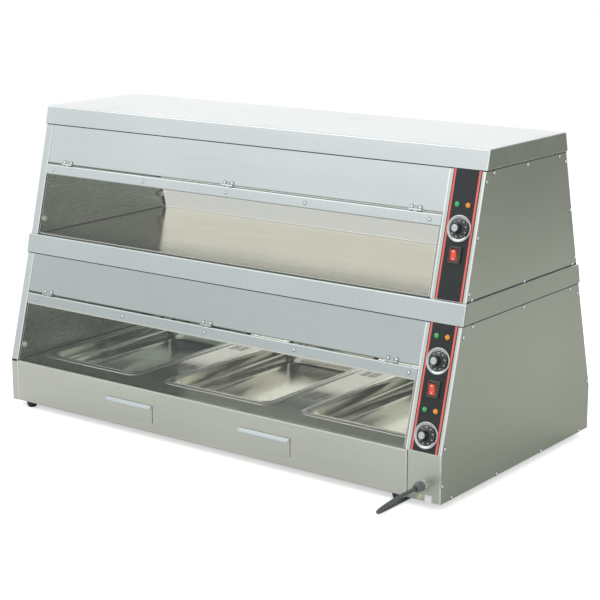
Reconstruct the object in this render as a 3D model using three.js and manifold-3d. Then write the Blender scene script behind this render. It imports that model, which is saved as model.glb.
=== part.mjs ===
// Heated display case for a shop counter: two tiers in one sloped stainless cabinet, the same front and rear.
// Each tier closes with a clear flap door on either side. The lower tier holds three food pans over a heated
// base with two water drawers, and a control column stands at the right-hand end.
// Millimetres, +Z up, front towards -Y. The origin is on the counter, under the middle of the case's own box.

import * as THREE from 'three';
import { mergeVertices } from 'three/addons/utils/BufferGeometryUtils.js';
import Module from 'manifold-3d';

const wasm = await Module();
wasm.setup();

// Overall case, from the counter up
const footHeight = 17;
const baseHeight = 112;
const lowerRise = 279;
const shelfRim = 48;
const upperRise = 285;
const capRim = 46;

// Depth of the case at each level
const baseDepth = 690;
const lowerTopDepth = 537;
const shelfBottomDepth = 541;
const shelfTopDepth = 520;
const upperBottomDepth = 509;
const upperTopDepth = 362;
const capBottomDepth = 366;
const capTopDepth = 344;

// Ends of the case
const sideOverhang = 4;
const leftWallWidth = 25;
const columnWidth = 92.5;

// Sheet metal
const sheet = 1.5;
const bendRadius = 1.5;
const rimRadius = 4;
const rimEndRadius = 2.5;
const seam = 0.3;
const overrun = 4;
const returnFlange = 14;
const fasciaFlange = 18;
const footFlange = 38;
const bendFacets = 3;
const weld = 0.0001;

// Flap doors: a folded strip clamps the clear panel and hangs on three knuckle hinges
const fasciaDrop = 104;
const stripGap = 2.6;
const stripHeight = 25;
const clampHeight = 18;
const stripProud = 2;
const glassThickness = 4;
const flapSideGap = 2;
const flapBottomGap = 3;

// Hinges
const hingeInset = 73;
const hingeWidth = 34;
const hingeLeafHeight = 9.5;
const leafThickness = 1;
const knuckleRadius = 2.6;
const knuckleFacets = 8;
const pinRadius = 1.2;
const axisAboveFasciaEdge = 0.6;
const axisProud = 3;
const movingLeafReach = 7;
const hingeCount = 3;

// Rubber bumpers that the closed flaps rest on
const bumperRadius = 7;
const bumperLength = 9;
const bumperRise = 42;
const bumperFacets = 10;

// Food pans: 1/1 gastronorm, 65 deep
const panCount = 3;
const panWidth = 325;
const panLength = 530;
const panDepth = 65;
const panMargin = 21.25;
const panStrip = 108.2;
const panSheet = 0.9;
const panBend = 1.5;
const panRim = 11;
const panRimCorner = 24;
const panWallCorner = 38;
const panFloorCorner = 44;
const panShoulderDrop = 13;
const panShoulder = 2.5;
const panTaper = 6.5;
const panFloorRadius = 6;
const panRimDrop = 2.4;
const panLift = 2.5;
const deckClearance = 4;
const cornerFacets = 5;

// Steam slots in the deck strips between the pans
const slotMargin = 30.6;
const slotWidth = 3.4;
const slotPitch = 10.5;
const slotColumnGap = 5;
const slotRows = 6;
const slotColumns = 2;
const slotLength = (panStrip - 2 * slotMargin - (slotColumns - 1) * slotColumnGap) / slotColumns;
const frontSlotsY = -139;
const rearSlotsY = 106;

// Water drawers
const drawerWidth = 150;
const drawerFrontHeight = 43;
const drawerBottomRise = 27.5;
const drawerGap = 1.6;
const drawerProud = 1;
const drawerLipOut = 11.7;
const drawerLipDown = 6.3;
const trayClearance = 6.1;
const trayWidth = panStrip + 2 * panRim - 2 * trayClearance;
const trayHeight = 36;
const trayLength = 480;
const trayWall = 1.2;
const trayRise = 1.5;
const guideWeb = 26;
const guideLedge = 8;
const guideFoot = 10;

// Feet
const footRadius = 15;
const footToeRadius = 11;
const footEdge = 1.5;
const footInsetY = 20;
const footInsetX = 51;
const footInsetColumn = 33;
const footFacets = 16;

// Control overlay, on the column's sloped front
const overlayWidth = 77;
const overlayRightMargin = 5.5;
const overlayEndMargin = 1.5;
const overlayThickness = 1;
const controlsInset = 36.75;

// Controls, measured down the sloped front from its top edge
const upperLampsAt = 80;
const upperDialAt = 133;
const upperSwitchAt = 192;
const airLampsAt = 29;
const airDialAt = 84;
const lowerSwitchAt = 147;
const bathLampsAt = 194;
const bathDialAt = 250;
const lampSpacing = 28;

// Dials and knobs
const bezelRadius = 31.7;
const bezelBore = 24;
const bezelHeight = 3.8;
const bezelChamfer = 1.6;
const skirtRadius = 23;
const skirtEdge = 1.4;
const skirtCrown = 2.2;
const gripBaseRadius = 14;
const gripRadius = 11;
const gripTopRadius = 9.5;
const gripEdge = 1;
const bezelFloor = 0.8;
const knobHeight = 20;
const knobCapRadius = 8.5;
const knobCapRelief = 0.5;
const fluteCount = 9;
const fluteRadius = 2;
const fluteFacets = 6;
const shaftRadius = 2.8;
const shaftHole = 4;
const shaftLength = 13;
const dialFacets = 24;
const thermostatRadius = 17;
const thermostatDepth = 28;

// Indicator lamps
const lampRadius = 6;
const lampCollar = 2.4;
const lampDome = 6.5;
const lampStem = 4.2;
const lampStemLength = 16;
const lampHolderWidth = 12;
const lampHolderDepth = 4;
const lampFacets = 10;

// Rocker switches
const switchWidth = 27;
const switchHeight = 36;
const switchFlange = 2;
const switchRimWidth = 24.4;
const switchRimHeight = 34.4;
const switchRimRise = 8;
const switchWellWidth = 21.2;
const switchWellHeight = 31;
const switchWellFloor = 3;
const switchBodyWidth = 18;
const switchBodyHeight = 26;
const switchBodyDepth = 22;
const rockerWidth = 20.4;
const rockerHeight = 27;
const rockerEndTop = 5;
const rockerEndBottom = 1.5;
const rockerDip = 3.2;
const rockerKeelWidth = 6;
const rockerKeel = 1;
const rockerPivot = 5;
const rockerTilt = THREE.MathUtils.degToRad(10);

// Heating elements
const elementRadius = 4;
const elementSides = 6;
const elementLegWidth = 5;
const elementBend = 36;
const baseElementWidth = 180;
const baseElementFront = -210;
const baseElementRear = 215;
const baseElementRise = 18;
const airElementMargin = 70;
const airElementWidth = 150;
const airElementGap = 16;

// Cable gland and terminal block
const glandInset = 46;
const glandRise = 38;
const glandHex = 25;
const glandHexThickness = 6;
const glandNeckRadius = 10;
const glandNeck = 4;
const glandDomeRadius = 11.5;
const glandMouthRadius = 7;
const glandLength = 32;
const glandStem = 8;
const glandLocknut = 5;
const glandFacets = 16;
const terminalWidth = 60;
const terminalHeight = 20;
const terminalDepth = 12;
const terminalRibs = 7;
const terminalRib = 2;
const terminalRibDepth = 4;
const terminalRise = 90;

// Mains cord, its storage coil and its plug
const cordDiameter = 9;
const cordSides = 8;
const cordSteps = 52;
const coilTurns = 3.25;
const coilMeanRadius = 50;
const coilPitch = 9.7;
const coilLayer = 9.6;
const coilStepsPerTurn = 24;
const coilSides = 6;
const coilEntryX = 480;
const coilEntryY = 420;
const floorGap = 0.3;
const plugBootLength = 40;
const plugBootRadius = 6;
const plugBootEnd = 8.5;
const plugTaper = 14;
const plugRadius = 18;
const plugBody = 18;
const plugRim = 1.5;
const plugPinRadius = 2.4;
const plugPinLength = 19;
const plugPinSpacing = 19;
const plugFacets = 16;

// Levels and ends worked out from the driving dimensions
const baseZ = footHeight;
const kneeZ = baseZ + baseHeight;
const shelfBottomZ = kneeZ + lowerRise;
const shelfTopZ = shelfBottomZ + shelfRim;
const capBottomZ = shelfTopZ + upperRise;
const topZ = capBottomZ + capRim;
const panPitch = panWidth + panStrip;
const cavityWidth = 2 * (panMargin + seam) + panWidth + (panCount - 1) * panPitch;
const caseWidth = 2 * sideOverhang + leftWallWidth + cavityWidth + columnWidth;
const outerLeft = -caseWidth / 2 + sideOverhang;
const outerRight = caseWidth / 2 - sideOverhang;
const cavityLeft = outerLeft + leftWallWidth;
const cavityRight = outerRight - columnWidth;
const liningLeft = cavityLeft + seam;
const liningRight = cavityRight - seam;
const glandX = outerRight - glandInset;
const deckZ = kneeZ;
const front = -1;
const rear = 1;

const finishes = {
  casing: { color: 0xb9bfbd, roughness: 0.34, metalness: 1 },
  lining: { color: 0xa9aea4, roughness: 0.24, metalness: 1 },
  pan: { color: 0xc4c1b4, roughness: 0.22, metalness: 1 },
  chrome: { color: 0xd8dadb, roughness: 0.12, metalness: 1 },
  overlay: { color: 0x2f3336, roughness: 0.5, metalness: 0 },
  knob: { color: 0x17181a, roughness: 0.4, metalness: 0 },
  rocker: { color: 0xe23a22, roughness: 0.35, metalness: 0 },
  frame: { color: 0x5c5f5a, roughness: 0.5, metalness: 0 },
  greenLens: { color: 0x2fae63, roughness: 0.25, metalness: 0 },
  clear: { color: 0xdfe8e6, roughness: 0.05, metalness: 0, transparent: true, opacity: 0.25 },
  cream: { color: 0xe9e2cf, roughness: 0.7, metalness: 0 },
  blackRubber: { color: 0x2b2d2e, roughness: 0.8, metalness: 0 },
  element: { color: 0x4b4a48, roughness: 0.6, metalness: 0.8 },
  bakelite: { color: 0xd9d4c4, roughness: 0.6, metalness: 0 },
  gland: { color: 0x53585a, roughness: 0.45, metalness: 0.6 },
};

const displayCase = new THREE.Group();

function add(name, geometry, finish) {
  const material = new THREE.MeshStandardMaterial({ ...finishes[finish], flatShading: true });
  const mesh = new THREE.Mesh(geometry, material);
  mesh.name = name;
  displayCase.add(mesh);
  return mesh;
}

// Solid helpers

function signedVolume(position, index) {
  const a = new THREE.Vector3();
  const b = new THREE.Vector3();
  const c = new THREE.Vector3();
  let volume = 0;
  for (let i = 0; i < index.length; i += 3) {
    a.fromBufferAttribute(position, index[i]);
    b.fromBufferAttribute(position, index[i + 1]);
    c.fromBufferAttribute(position, index[i + 2]);
    volume += a.dot(b.cross(c));
  }
  return volume / 6;
}

// Joins the shared vertices of a closed shape, drops empty triangles and turns its faces outwards
function closed(geometry) {
  const plain = geometry.clone();
  plain.deleteAttribute('normal');
  plain.deleteAttribute('uv');
  const merged = mergeVertices(plain, weld);
  const from = merged.index.array;
  const index = [];
  for (let i = 0; i < from.length; i += 3) {
    const [a, b, c] = [from[i], from[i + 1], from[i + 2]];
    if (a !== b && b !== c && c !== a) index.push(a, b, c);
  }
  if (signedVolume(merged.attributes.position, index) < 0) index.reverse();
  merged.setIndex(index);
  return merged;
}

function solid(geometry) {
  const shape = closed(geometry);
  const vertProperties = new Float32Array(shape.attributes.position.array);
  const triVerts = new Uint32Array(shape.index.array);
  return new wasm.Manifold(new wasm.Mesh({ numProp: 3, vertProperties, triVerts }));
}

function geometryOf(body) {
  const mesh = body.getMesh();
  const geometry = new THREE.BufferGeometry();
  geometry.setAttribute('position', new THREE.Float32BufferAttribute(mesh.vertProperties, 3));
  geometry.setIndex([...mesh.triVerts]);
  return geometry;
}

function cut(body, ...tools) {
  return geometryOf(tools.reduce((left, tool) => left.subtract(solid(tool)), solid(body)));
}

function join(...bodies) {
  return geometryOf(bodies.map(solid).reduce((whole, body) => whole.add(body)));
}

function box(x0, x1, y0, y1, z0, z1) {
  const shape = new THREE.BoxGeometry(x1 - x0, y1 - y0, z1 - z0);
  return shape.translate((x0 + x1) / 2, (y0 + y1) / 2, (z0 + z1) / 2);
}

function shapeOf(outline) {
  return new THREE.Shape(outline.map(([u, v]) => new THREE.Vector2(u, v)));
}

const acrossX = new THREE.Matrix4().makeBasis(
  new THREE.Vector3(0, 1, 0), new THREE.Vector3(0, 0, 1), new THREE.Vector3(1, 0, 0));
const alongY = new THREE.Matrix4().makeBasis(
  new THREE.Vector3(1, 0, 0), new THREE.Vector3(0, 0, 1), new THREE.Vector3(0, -1, 0));

// Extrudes an outline of [y, z] points from x0 to x1, with its end edges rounded where a radius is given
function prismX(outline, x0, x1, radius = 0) {
  const shape = new THREE.ExtrudeGeometry(shapeOf(outline), {
    depth: x1 - x0 - 2 * radius,
    bevelEnabled: radius > 0,
    bevelThickness: radius,
    bevelSize: radius,
    bevelOffset: -radius,
    bevelSegments: 2,
  });
  return shape.applyMatrix4(acrossX).translate(x0 + radius, 0, 0);
}

// Extrudes an outline of [x, z] points from y0 to y1
function prismY(outline, y0, y1) {
  const shape = new THREE.ExtrudeGeometry(shapeOf(outline), { depth: y1 - y0, bevelEnabled: false });
  return shape.applyMatrix4(alongY).translate(0, y1, 0);
}

// Turns a profile of [radius, height] points about the Z axis
function latheZ(profile, facets) {
  const points = profile.map(([r, z]) => new THREE.Vector2(r, z));
  return new THREE.LatheGeometry(points, facets).rotateX(Math.PI / 2);
}

function cylinderX(radius, x0, x1, y, z, facets) {
  const shape = new THREE.CylinderGeometry(radius, radius, x1 - x0, facets);
  return shape.rotateZ(Math.PI / 2).translate((x0 + x1) / 2, y, z);
}

function mirrored(outline) {
  return outline.map(([y, z]) => [-y, z]);
}

function facing(outline, face) {
  return face === front ? outline : mirrored(outline);
}

// Moves every side of a convex outline inwards by one distance
function inset(outline, distance) {
  const count = outline.length;
  const turn = Math.sign(THREE.ShapeUtils.area(outline.map(([x, y]) => ({ x, y }))));
  const normal = (i) => {
    const [p, q] = [outline[i % count], outline[(i + 1) % count]];
    const length = Math.hypot(q[0] - p[0], q[1] - p[1]);
    return [-turn * (q[1] - p[1]) / length, turn * (q[0] - p[0]) / length];
  };
  return outline.map((p, i) => {
    const [a, b] = [normal(i + count - 1), normal(i)];
    const reach = distance / (1 + a[0] * b[0] + a[1] * b[1]);
    return [p[0] + (a[0] + b[0]) * reach, p[1] + (a[1] + b[1]) * reach];
  });
}

// Section of a folded sheet. The line follows its outer face, with the metal on the left of it.
function sheetSection(line, thickness = sheet, radius = bendRadius) {
  const heading = (i) => {
    const [p, q] = [line[i], line[i + 1]];
    const length = Math.hypot(q[0] - p[0], q[1] - p[1]);
    return [(q[0] - p[0]) / length, (q[1] - p[1]) / length];
  };
  const leftOf = ([u, v]) => [-v, u];
  const face = [];
  const back = [];
  const place = (centre, normal, reach) => {
    face.push([centre[0] - normal[0] * reach, centre[1] - normal[1] * reach]);
    back.push([centre[0] - normal[0] * (reach - thickness), centre[1] - normal[1] * (reach - thickness)]);
  };
  place(line[0], leftOf(heading(0)), 0);
  for (let i = 1; i < line.length - 1; i += 1) {
    const a = leftOf(heading(i - 1));
    const b = leftOf(heading(i));
    const dot = a[0] * b[0] + a[1] * b[1];
    const angle = Math.atan2(a[0] * b[1] - a[1] * b[0], dot);
    const reach = angle > 0 ? radius + thickness : -radius;
    const centre = [
      line[i][0] + (a[0] + b[0]) * reach / (1 + dot),
      line[i][1] + (a[1] + b[1]) * reach / (1 + dot),
    ];
    for (let k = 0; k <= bendFacets; k += 1) {
      const turned = angle * k / bendFacets;
      const normal = [
        a[0] * Math.cos(turned) - a[1] * Math.sin(turned),
        a[0] * Math.sin(turned) + a[1] * Math.cos(turned),
      ];
      place(centre, normal, reach);
    }
  }
  place(line[line.length - 1], leftOf(heading(line.length - 2)), 0);
  return [...face, ...back.reverse()];
}

// Rounds the corners of a closed outline where their radius is above zero
function rounded(outline, radii) {
  const count = outline.length;
  return outline.flatMap((corner, i) => {
    if (radii[i] === 0) return [corner];
    const towards = (q) => {
      const length = Math.hypot(q[0] - corner[0], q[1] - corner[1]);
      return [(q[0] - corner[0]) / length, (q[1] - corner[1]) / length];
    };
    const a = towards(outline[(i + count - 1) % count]);
    const b = towards(outline[(i + 1) % count]);
    const half = Math.acos(a[0] * b[0] + a[1] * b[1]) / 2;
    const back = radii[i] / Math.tan(half);
    const points = [];
    for (let k = 0; k <= bendFacets; k += 1) {
      const t = k / bendFacets;
      const [u, v] = [(1 - t) * (1 - t), t * t];
      points.push([
        corner[0] + back * (a[0] * u + b[0] * v),
        corner[1] + back * (a[1] * u + b[1] * v),
      ]);
    }
    return points;
  });
}

function roundedRectangle(halfX, halfY, radius, facets) {
  const points = [];
  const corners = [[1, 1], [-1, 1], [-1, -1], [1, -1]];
  corners.forEach(([signX, signY], quarter) => {
    for (let k = 0; k <= facets; k += 1) {
      const angle = (quarter + k / facets) * Math.PI / 2;
      points.push([
        signX * (halfX - radius) + radius * Math.cos(angle),
        signY * (halfY - radius) + radius * Math.sin(angle),
      ]);
    }
  });
  return points;
}

// A sloped face of a tier, front or rear. Places on it are given by s, down the face from its top edge,
// and t, straight out of it.
function slopedFace(topDepth, upperZ, bottomDepth, lowerZ) {
  const run = (bottomDepth - topDepth) / 2;
  const rise = upperZ - lowerZ;
  const angle = Math.atan2(run, rise);
  return {
    angle,
    length: Math.hypot(run, rise),
    halfDepthAt: (z) => topDepth / 2 + (upperZ - z) * run / rise,
    point: (s, t) => [
      -(topDepth / 2 + s * Math.sin(angle) + t * Math.cos(angle)),
      upperZ - s * Math.cos(angle) + t * Math.sin(angle),
    ],
  };
}

// Places a shape built with +Z out of the front face and +Y up it
function onFront(geometry, slope, x, s, t) {
  const [y, z] = slope.point(s, t);
  return geometry.rotateX(Math.PI / 2 - slope.angle).translate(x, y, z);
}

// The same for a mesh that keeps its own place and turn
function seatOnFront(mesh, slope, x, s, t) {
  const [y, z] = slope.point(s, t);
  mesh.rotation.x = Math.PI / 2 - slope.angle;
  mesh.position.set(x, y, z);
}

const upperFace = slopedFace(upperTopDepth, capBottomZ, upperBottomDepth, shelfTopZ);
const lowerFace = slopedFace(lowerTopDepth, shelfBottomZ, baseDepth, kneeZ);

const tiers = [
  {
    name: 'upper',
    slope: upperFace,
    topZ: capBottomZ - seam,
    bottomZ: shelfTopZ + seam,
    lamps: [upperLampsAt],
    dials: [upperDialAt],
    switchAt: upperSwitchAt,
  },
  {
    name: 'lower',
    slope: lowerFace,
    topZ: shelfBottomZ - seam,
    bottomZ: baseZ,
    lamps: [airLampsAt, bathLampsAt],
    dials: [airDialAt, bathDialAt],
    switchAt: lowerSwitchAt,
  },
];

// Outline of a tier's ends, seen along X
function tierOutline(tier) {
  const top = tier.slope.halfDepthAt(tier.topZ);
  if (tier.name === 'upper') {
    const bottom = tier.slope.halfDepthAt(tier.bottomZ);
    return [[-bottom, tier.bottomZ], [-top, tier.topZ], [top, tier.topZ], [bottom, tier.bottomZ]];
  }
  const half = baseDepth / 2;
  return [[-half, baseZ], [-half, kneeZ], [-top, tier.topZ], [top, tier.topZ], [half, kneeZ], [half, baseZ]];
}

// Lids and rims

function rimShell(topDepth, bottomDepth, lowZ, highZ) {
  const [bottom, top] = [bottomDepth / 2, topDepth / 2];
  const outline = [[-bottom, lowZ], [-top, highZ], [top, highZ], [bottom, lowZ]];
  const outer = rounded(outline, [0, rimRadius, rimRadius, 0]);
  const half = caseWidth / 2;
  const mouthY = bottomDepth / 2 - returnFlange;
  const mouthX = half - returnFlange;
  return cut(
    prismX(outer, -half, half, rimEndRadius),
    prismX(rounded(inset(outline, sheet), [0, rimRadius - sheet, rimRadius - sheet, 0]),
      sheet - half, half - sheet),
    box(-mouthX, mouthX, -mouthY, mouthY, lowZ - overrun, lowZ + overrun),
  );
}

// Left-hand end: a hollow double wall, open at its top and bottom. The base's front and rear reach round it.

function leftWall(tier) {
  const outline = tierOutline(tier);
  const mouth = tier.slope.halfDepthAt(tier.topZ) - returnFlange;
  const tools = [
    prismX(inset(outline, sheet), outerLeft + sheet, cavityLeft - sheet),
    box(outerLeft + sheet, cavityLeft - sheet, -mouth, mouth, baseZ - overrun, topZ),
  ];
  if (tier.name === 'lower') {
    const face = baseDepth / 2 - sheet - seam;
    const wing = outerLeft + sheet + seam;
    tools.push(
      box(wing, cavityLeft + overrun, -face - overrun, -face, baseZ - overrun, kneeZ + seam),
      box(wing, cavityLeft + overrun, face, face + overrun, baseZ - overrun, kneeZ + seam),
    );
  }
  return cut(prismX(outline, outerLeft, cavityLeft), ...tools);
}

// Control column: a folded box that is open to the right, where the side panel closes it

const controlsRest = 2 * seam + overlayThickness;
const overlayLeft = outerRight - overlayRightMargin - overlayWidth;
const controlsX = overlayLeft + controlsInset;

function rectangle(width, height) {
  const [x, y] = [width / 2, height / 2];
  return [[-x, -y], [x, -y], [x, y], [-x, y]];
}

function plate(outline, thickness) {
  return new THREE.ExtrudeGeometry(shapeOf(outline), { depth: thickness, bevelEnabled: false });
}

// Cutters for the shafts, lamps and switch of one tier, through both the overlay and the column behind it
function controlCutters(tier) {
  const depth = sheet + overlayThickness + 2 * overrun;
  const low = -sheet - overrun;
  const hole = (radius, facets) => latheZ([[0, 0], [radius, 0], [radius, depth], [0, depth]], facets);
  const lampHole = lampStem + seam;
  return [
    ...tier.dials.map((s) => onFront(hole(shaftHole, lampFacets), tier.slope, controlsX, s, low)),
    ...tier.lamps.flatMap((s) => [-lampSpacing / 2, lampSpacing / 2].map(
      (x) => onFront(hole(lampHole, lampFacets), tier.slope, controlsX + x, s, low))),
    onFront(plate(rectangle(switchBodyWidth + 2 * seam, switchBodyHeight + 2 * seam), depth),
      tier.slope, controlsX, tier.switchAt, low),
  ];
}

function column(tier) {
  const outline = tierOutline(tier);
  const wallEnd = outerRight - sheet - seam;
  const tools = [
    prismX(inset(outline, sheet), cavityRight + sheet, wallEnd - sheet),
    prismX(inset(outline, returnFlange), wallEnd - sheet - overrun, wallEnd + overrun),
    ...controlCutters(tier),
  ];
  if (tier.name === 'lower') {
    const holeRadius = glandStem + seam;
    const hole = new THREE.CylinderGeometry(holeRadius, holeRadius, sheet + 2 * overrun, glandFacets);
    tools.push(hole.translate(glandX, -baseDepth / 2, baseZ + glandRise));
  }
  return cut(prismX(outline, cavityRight, wallEnd), ...tools);
}

function sidePanel(tier) {
  return prismX(inset(tierOutline(tier), seam), outerRight - sheet, outerRight);
}

function overlay(tier) {
  const length = tier.slope.length - 2 * overlayEndMargin;
  const blank = onFront(plate(rectangle(overlayWidth, length), overlayThickness),
    tier.slope, overlayLeft + overlayWidth / 2, tier.slope.length / 2, seam);
  return cut(blank, ...controlCutters(tier));
}

// Header: one sheet folded into a front fascia, a ceiling and a rear fascia, with its fixed hinge leaves
function header(tier) {
  const top = tier.slope.halfDepthAt(tier.topZ);
  const [bottomY, bottomZ] = tier.slope.point(fasciaDrop, 0);
  const outline = sheetSection([
    [-top + fasciaFlange, tier.topZ],
    [-top, tier.topZ],
    [bottomY, bottomZ],
    [-bottomY, bottomZ],
    [top, tier.topZ],
    [top - fasciaFlange, tier.topZ],
  ]);
  const leaves = [front, rear].flatMap((face) => hingeXs.map((x) => fixedHinge(tier, face, x)));
  return join(prismX(outline, liningLeft, liningRight), ...leaves);
}

// Base: one sheet folded into front, floor and rear, with the deck on its upper flanges

const deckLow = deckZ - sheet;
const drawerBottomZ = baseZ + drawerBottomRise;
const trayZ = drawerBottomZ + trayRise;
const firstPan = liningLeft + panMargin + panWidth / 2;
const panCentres = Array.from({ length: panCount }, (_, i) => firstPan + i * panPitch);
const stripCentres = panCentres.slice(1).map((x) => x - panPitch / 2);

function drawerOpening(x) {
  const half = drawerWidth / 2 + drawerGap;
  return box(x - half, x + half, -baseDepth / 2 - overrun, -baseDepth / 2 + sheet + seam,
    drawerBottomZ - drawerGap, drawerBottomZ + drawerFrontHeight + drawerGap);
}

// Two rails for each drawer, welded to the base floor
function drawerRails(x) {
  const low = baseZ + sheet / 2;
  const ledgeZ = trayZ - seam;
  const web = trayWidth / 2 + seam;
  const start = -baseDepth / 2 + footFlange;
  return [-1, 1].map((side) => prismY([
    [web - guideLedge, ledgeZ],
    [web, ledgeZ],
    [web, trayZ + guideWeb],
    [web + sheet, trayZ + guideWeb],
    [web + sheet, low + 3 * sheet / 2],
    [web + sheet + guideFoot, low + 3 * sheet / 2],
    [web + sheet + guideFoot, low],
    [web, low],
    [web, ledgeZ - sheet],
    [web - guideLedge, ledgeZ - sheet],
  ].map(([u, z]) => [x + side * u, z]), start, start + trayLength - footFlange));
}

function base() {
  const half = baseDepth / 2;
  const upperZ = deckLow - seam;
  const outline = sheetSection([
    [-half + fasciaFlange, upperZ],
    [-half, upperZ],
    [-half, baseZ],
    [half, baseZ],
    [half, upperZ],
    [half - fasciaFlange, upperZ],
  ]);
  const wingX = outerLeft + sheet + 2 * seam;
  const wingTop = upperZ - bendRadius - sheet;
  const wings = [front, rear].map((face) => prismX(
    facing(sheetSection([[-half, wingTop], [-half, baseZ + bendRadius + sheet]]), face),
    wingX, liningLeft + sheet));
  return cut(
    join(prismX(outline, liningLeft, liningRight), ...wings, ...stripCentres.flatMap(drawerRails)),
    ...stripCentres.map(drawerOpening),
  );
}

// Cutters for a group of steam slots about one place in the deck
function slotGroup(x, y) {
  const slots = [];
  for (let row = 0; row < slotRows; row += 1) {
    for (let column = 0; column < slotColumns; column += 1) {
      const slotX = x + (column - (slotColumns - 1) / 2) * (slotLength + slotColumnGap);
      const slotY = y + (row - (slotRows - 1) / 2) * slotPitch;
      const slot = plate(rectangle(slotLength, slotWidth), sheet + 2 * overrun);
      slots.push(slot.translate(slotX, slotY, deckLow - overrun));
    }
  }
  return slots;
}

function deck() {
  const halfY = baseDepth / 2 - seam;
  const rimInset = panRim - deckClearance;
  const opening = roundedRectangle(
    panWidth / 2 - rimInset, panLength / 2 - rimInset, panWallCorner, cornerFacets);
  return cut(
    box(liningLeft, liningRight, -halfY, halfY, deckLow, deckZ),
    ...panCentres.map((x) => plate(opening, sheet + 2 * overrun).translate(x, 0, deckLow - overrun)),
    ...stripCentres.flatMap((x) => [...slotGroup(x, frontSlotsY), ...slotGroup(x, rearSlotsY)]),
  );
}

// Stitches rounded rectangles of equal facets into one closed skin, from the first to the last
function loft(rings) {
  const positions = [];
  const index = [];
  const size = roundedRectangle(1, 1, 1, cornerFacets).length;
  rings.forEach(([halfX, halfY, radius, z]) => {
    roundedRectangle(halfX, halfY, radius, cornerFacets).forEach(([x, y]) => positions.push(x, y, z));
  });
  for (let ring = 0; ring < rings.length - 1; ring += 1) {
    for (let i = 0; i < size; i += 1) {
      const [a, b] = [ring * size + i, ring * size + (i + 1) % size];
      index.push(a, b, b + size, a, b + size, a + size);
    }
  }
  const last = (rings.length - 1) * size;
  for (let i = 1; i < size - 1; i += 1) {
    index.push(0, i + 1, i, last, last + i, last + i + 1);
  }
  const geometry = new THREE.BufferGeometry();
  geometry.setAttribute('position', new THREE.Float32BufferAttribute(positions, 3));
  geometry.setIndex(index);
  return geometry;
}

// A drawn pan: rolled rim, stacking shoulder, tapered walls and a rounded floor, the same sheet all over
function pan() {
  const rimZ = deckZ + seam + panLift;
  const wallX = panWidth / 2 - panRim;
  const wallY = panLength / 2 - panRim;
  const ring = (inwards, drop, corner, skin) => [
    wallX - inwards + skin, wallY - inwards + skin, Math.max(corner, panRimCorner) + skin, rimZ - drop];
  const edge = (outwards, drop) => [
    wallX + panRim - outwards, wallY + panRim - outwards, panRimCorner - outwards, rimZ - drop];
  const floorDrop = panDepth - panSheet;
  return loft([
    ring(panTaper + panFloorRadius, panDepth, panFloorCorner - panFloorRadius, 0),
    ring(panTaper, panDepth - panFloorRadius, panFloorCorner, panSheet),
    ring(panShoulder, panShoulderDrop, panWallCorner, panSheet),
    ring(0, panShoulderDrop - panShoulder, panWallCorner, panSheet),
    ring(0, panSheet + panBend, panWallCorner, panSheet),
    ring(-panBend, panSheet, panWallCorner, panSheet),
    edge(panSheet, panSheet),
    edge(panSheet, panRimDrop),
    edge(0, panRimDrop),
    edge(panSheet / 2, panSheet / 2),
    edge(2 * panSheet, 0),
    ring(-panSheet - panBend, 0, panWallCorner, 0),
    ring(0, panSheet + panBend, panWallCorner, 0),
    ring(0, panShoulderDrop - panShoulder, panWallCorner, 0),
    ring(panShoulder, panShoulderDrop, panWallCorner, 0),
    ring(panTaper, floorDrop - panFloorRadius, panFloorCorner, 0),
    ring(panTaper + panFloorRadius, floorDrop, panFloorCorner - panFloorRadius, 0),
  ]);
}

// Water drawer: front, pull lip and tray in one
function drawer(x) {
  const face = -baseDepth / 2 - drawerProud;
  const topZ = drawerBottomZ + drawerFrontHeight;
  const outline = sheetSection([
    [face - drawerLipOut, topZ - drawerLipDown],
    [face, topZ],
    [face, drawerBottomZ],
  ]);
  const [half, back] = [trayWidth / 2, face + sheet / 2];
  const tray = cut(
    box(x - half, x + half, back, back + trayLength, trayZ, trayZ + trayHeight),
    box(x - half + trayWall, x + half - trayWall, face + sheet, back + trayLength - trayWall,
      trayZ + trayWall, trayZ + trayHeight + overrun),
  );
  return join(prismX(outline, x - drawerWidth / 2, x + drawerWidth / 2), tray);
}

function foot(x, y) {
  const topZ = baseZ - seam;
  return latheZ([
    [0, 0],
    [footToeRadius - footEdge, 0],
    [footToeRadius, footEdge],
    [footRadius, topZ - footEdge],
    [footRadius - footEdge, topZ],
    [0, topZ],
  ], footFacets).translate(x, y, 0);
}

// Flap doors, each on three hinges whose pin line lies just proud of the fascia's lower edge

const hingeXs = Array.from({ length: hingeCount }, (_, i) =>
  cavityLeft + hingeInset + i * (cavityRight - cavityLeft - 2 * hingeInset) / (hingeCount - 1));
const flapLeft = cavityLeft + flapSideGap;
const flapRight = cavityRight - flapSideGap;
const stripTop = fasciaDrop + stripGap;
const glassFront = stripProud - sheet - seam;
const glassBack = glassFront - glassThickness;

function flapStrip(tier, face) {
  const { point } = tier.slope;
  const inner = glassBack - seam - sheet;
  const outline = sheetSection([
    point(stripTop + clampHeight, inner),
    point(stripTop, inner),
    point(stripTop, stripProud),
    point(stripTop + stripHeight, stripProud),
  ]);
  const pinHoles = hingeXs.map((x) => knuckle(tier, face, pinRadius + seam, x - hingeWidth, x + hingeWidth));
  return cut(
    join(
      prismX(facing(outline, face), flapLeft, flapRight),
      ...hingeXs.flatMap((x) => movingHinge(tier, face, x)),
    ),
    ...pinHoles,
  );
}

function flapGlass(tier, face) {
  const top = stripTop + sheet + bendRadius;
  const bottom = tier.slope.length - flapBottomGap;
  return slab(tier, face, flapLeft, flapRight, top, bottom, glassBack, glassFront);
}

// A flat piece lying along a sloped face, between two places down it and two out of it
function slab(tier, face, x0, x1, s0, s1, t0, t1) {
  const { point } = tier.slope;
  return prismX(facing([point(s0, t0), point(s0, t1), point(s1, t1), point(s1, t0)], face), x0, x1);
}

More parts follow.
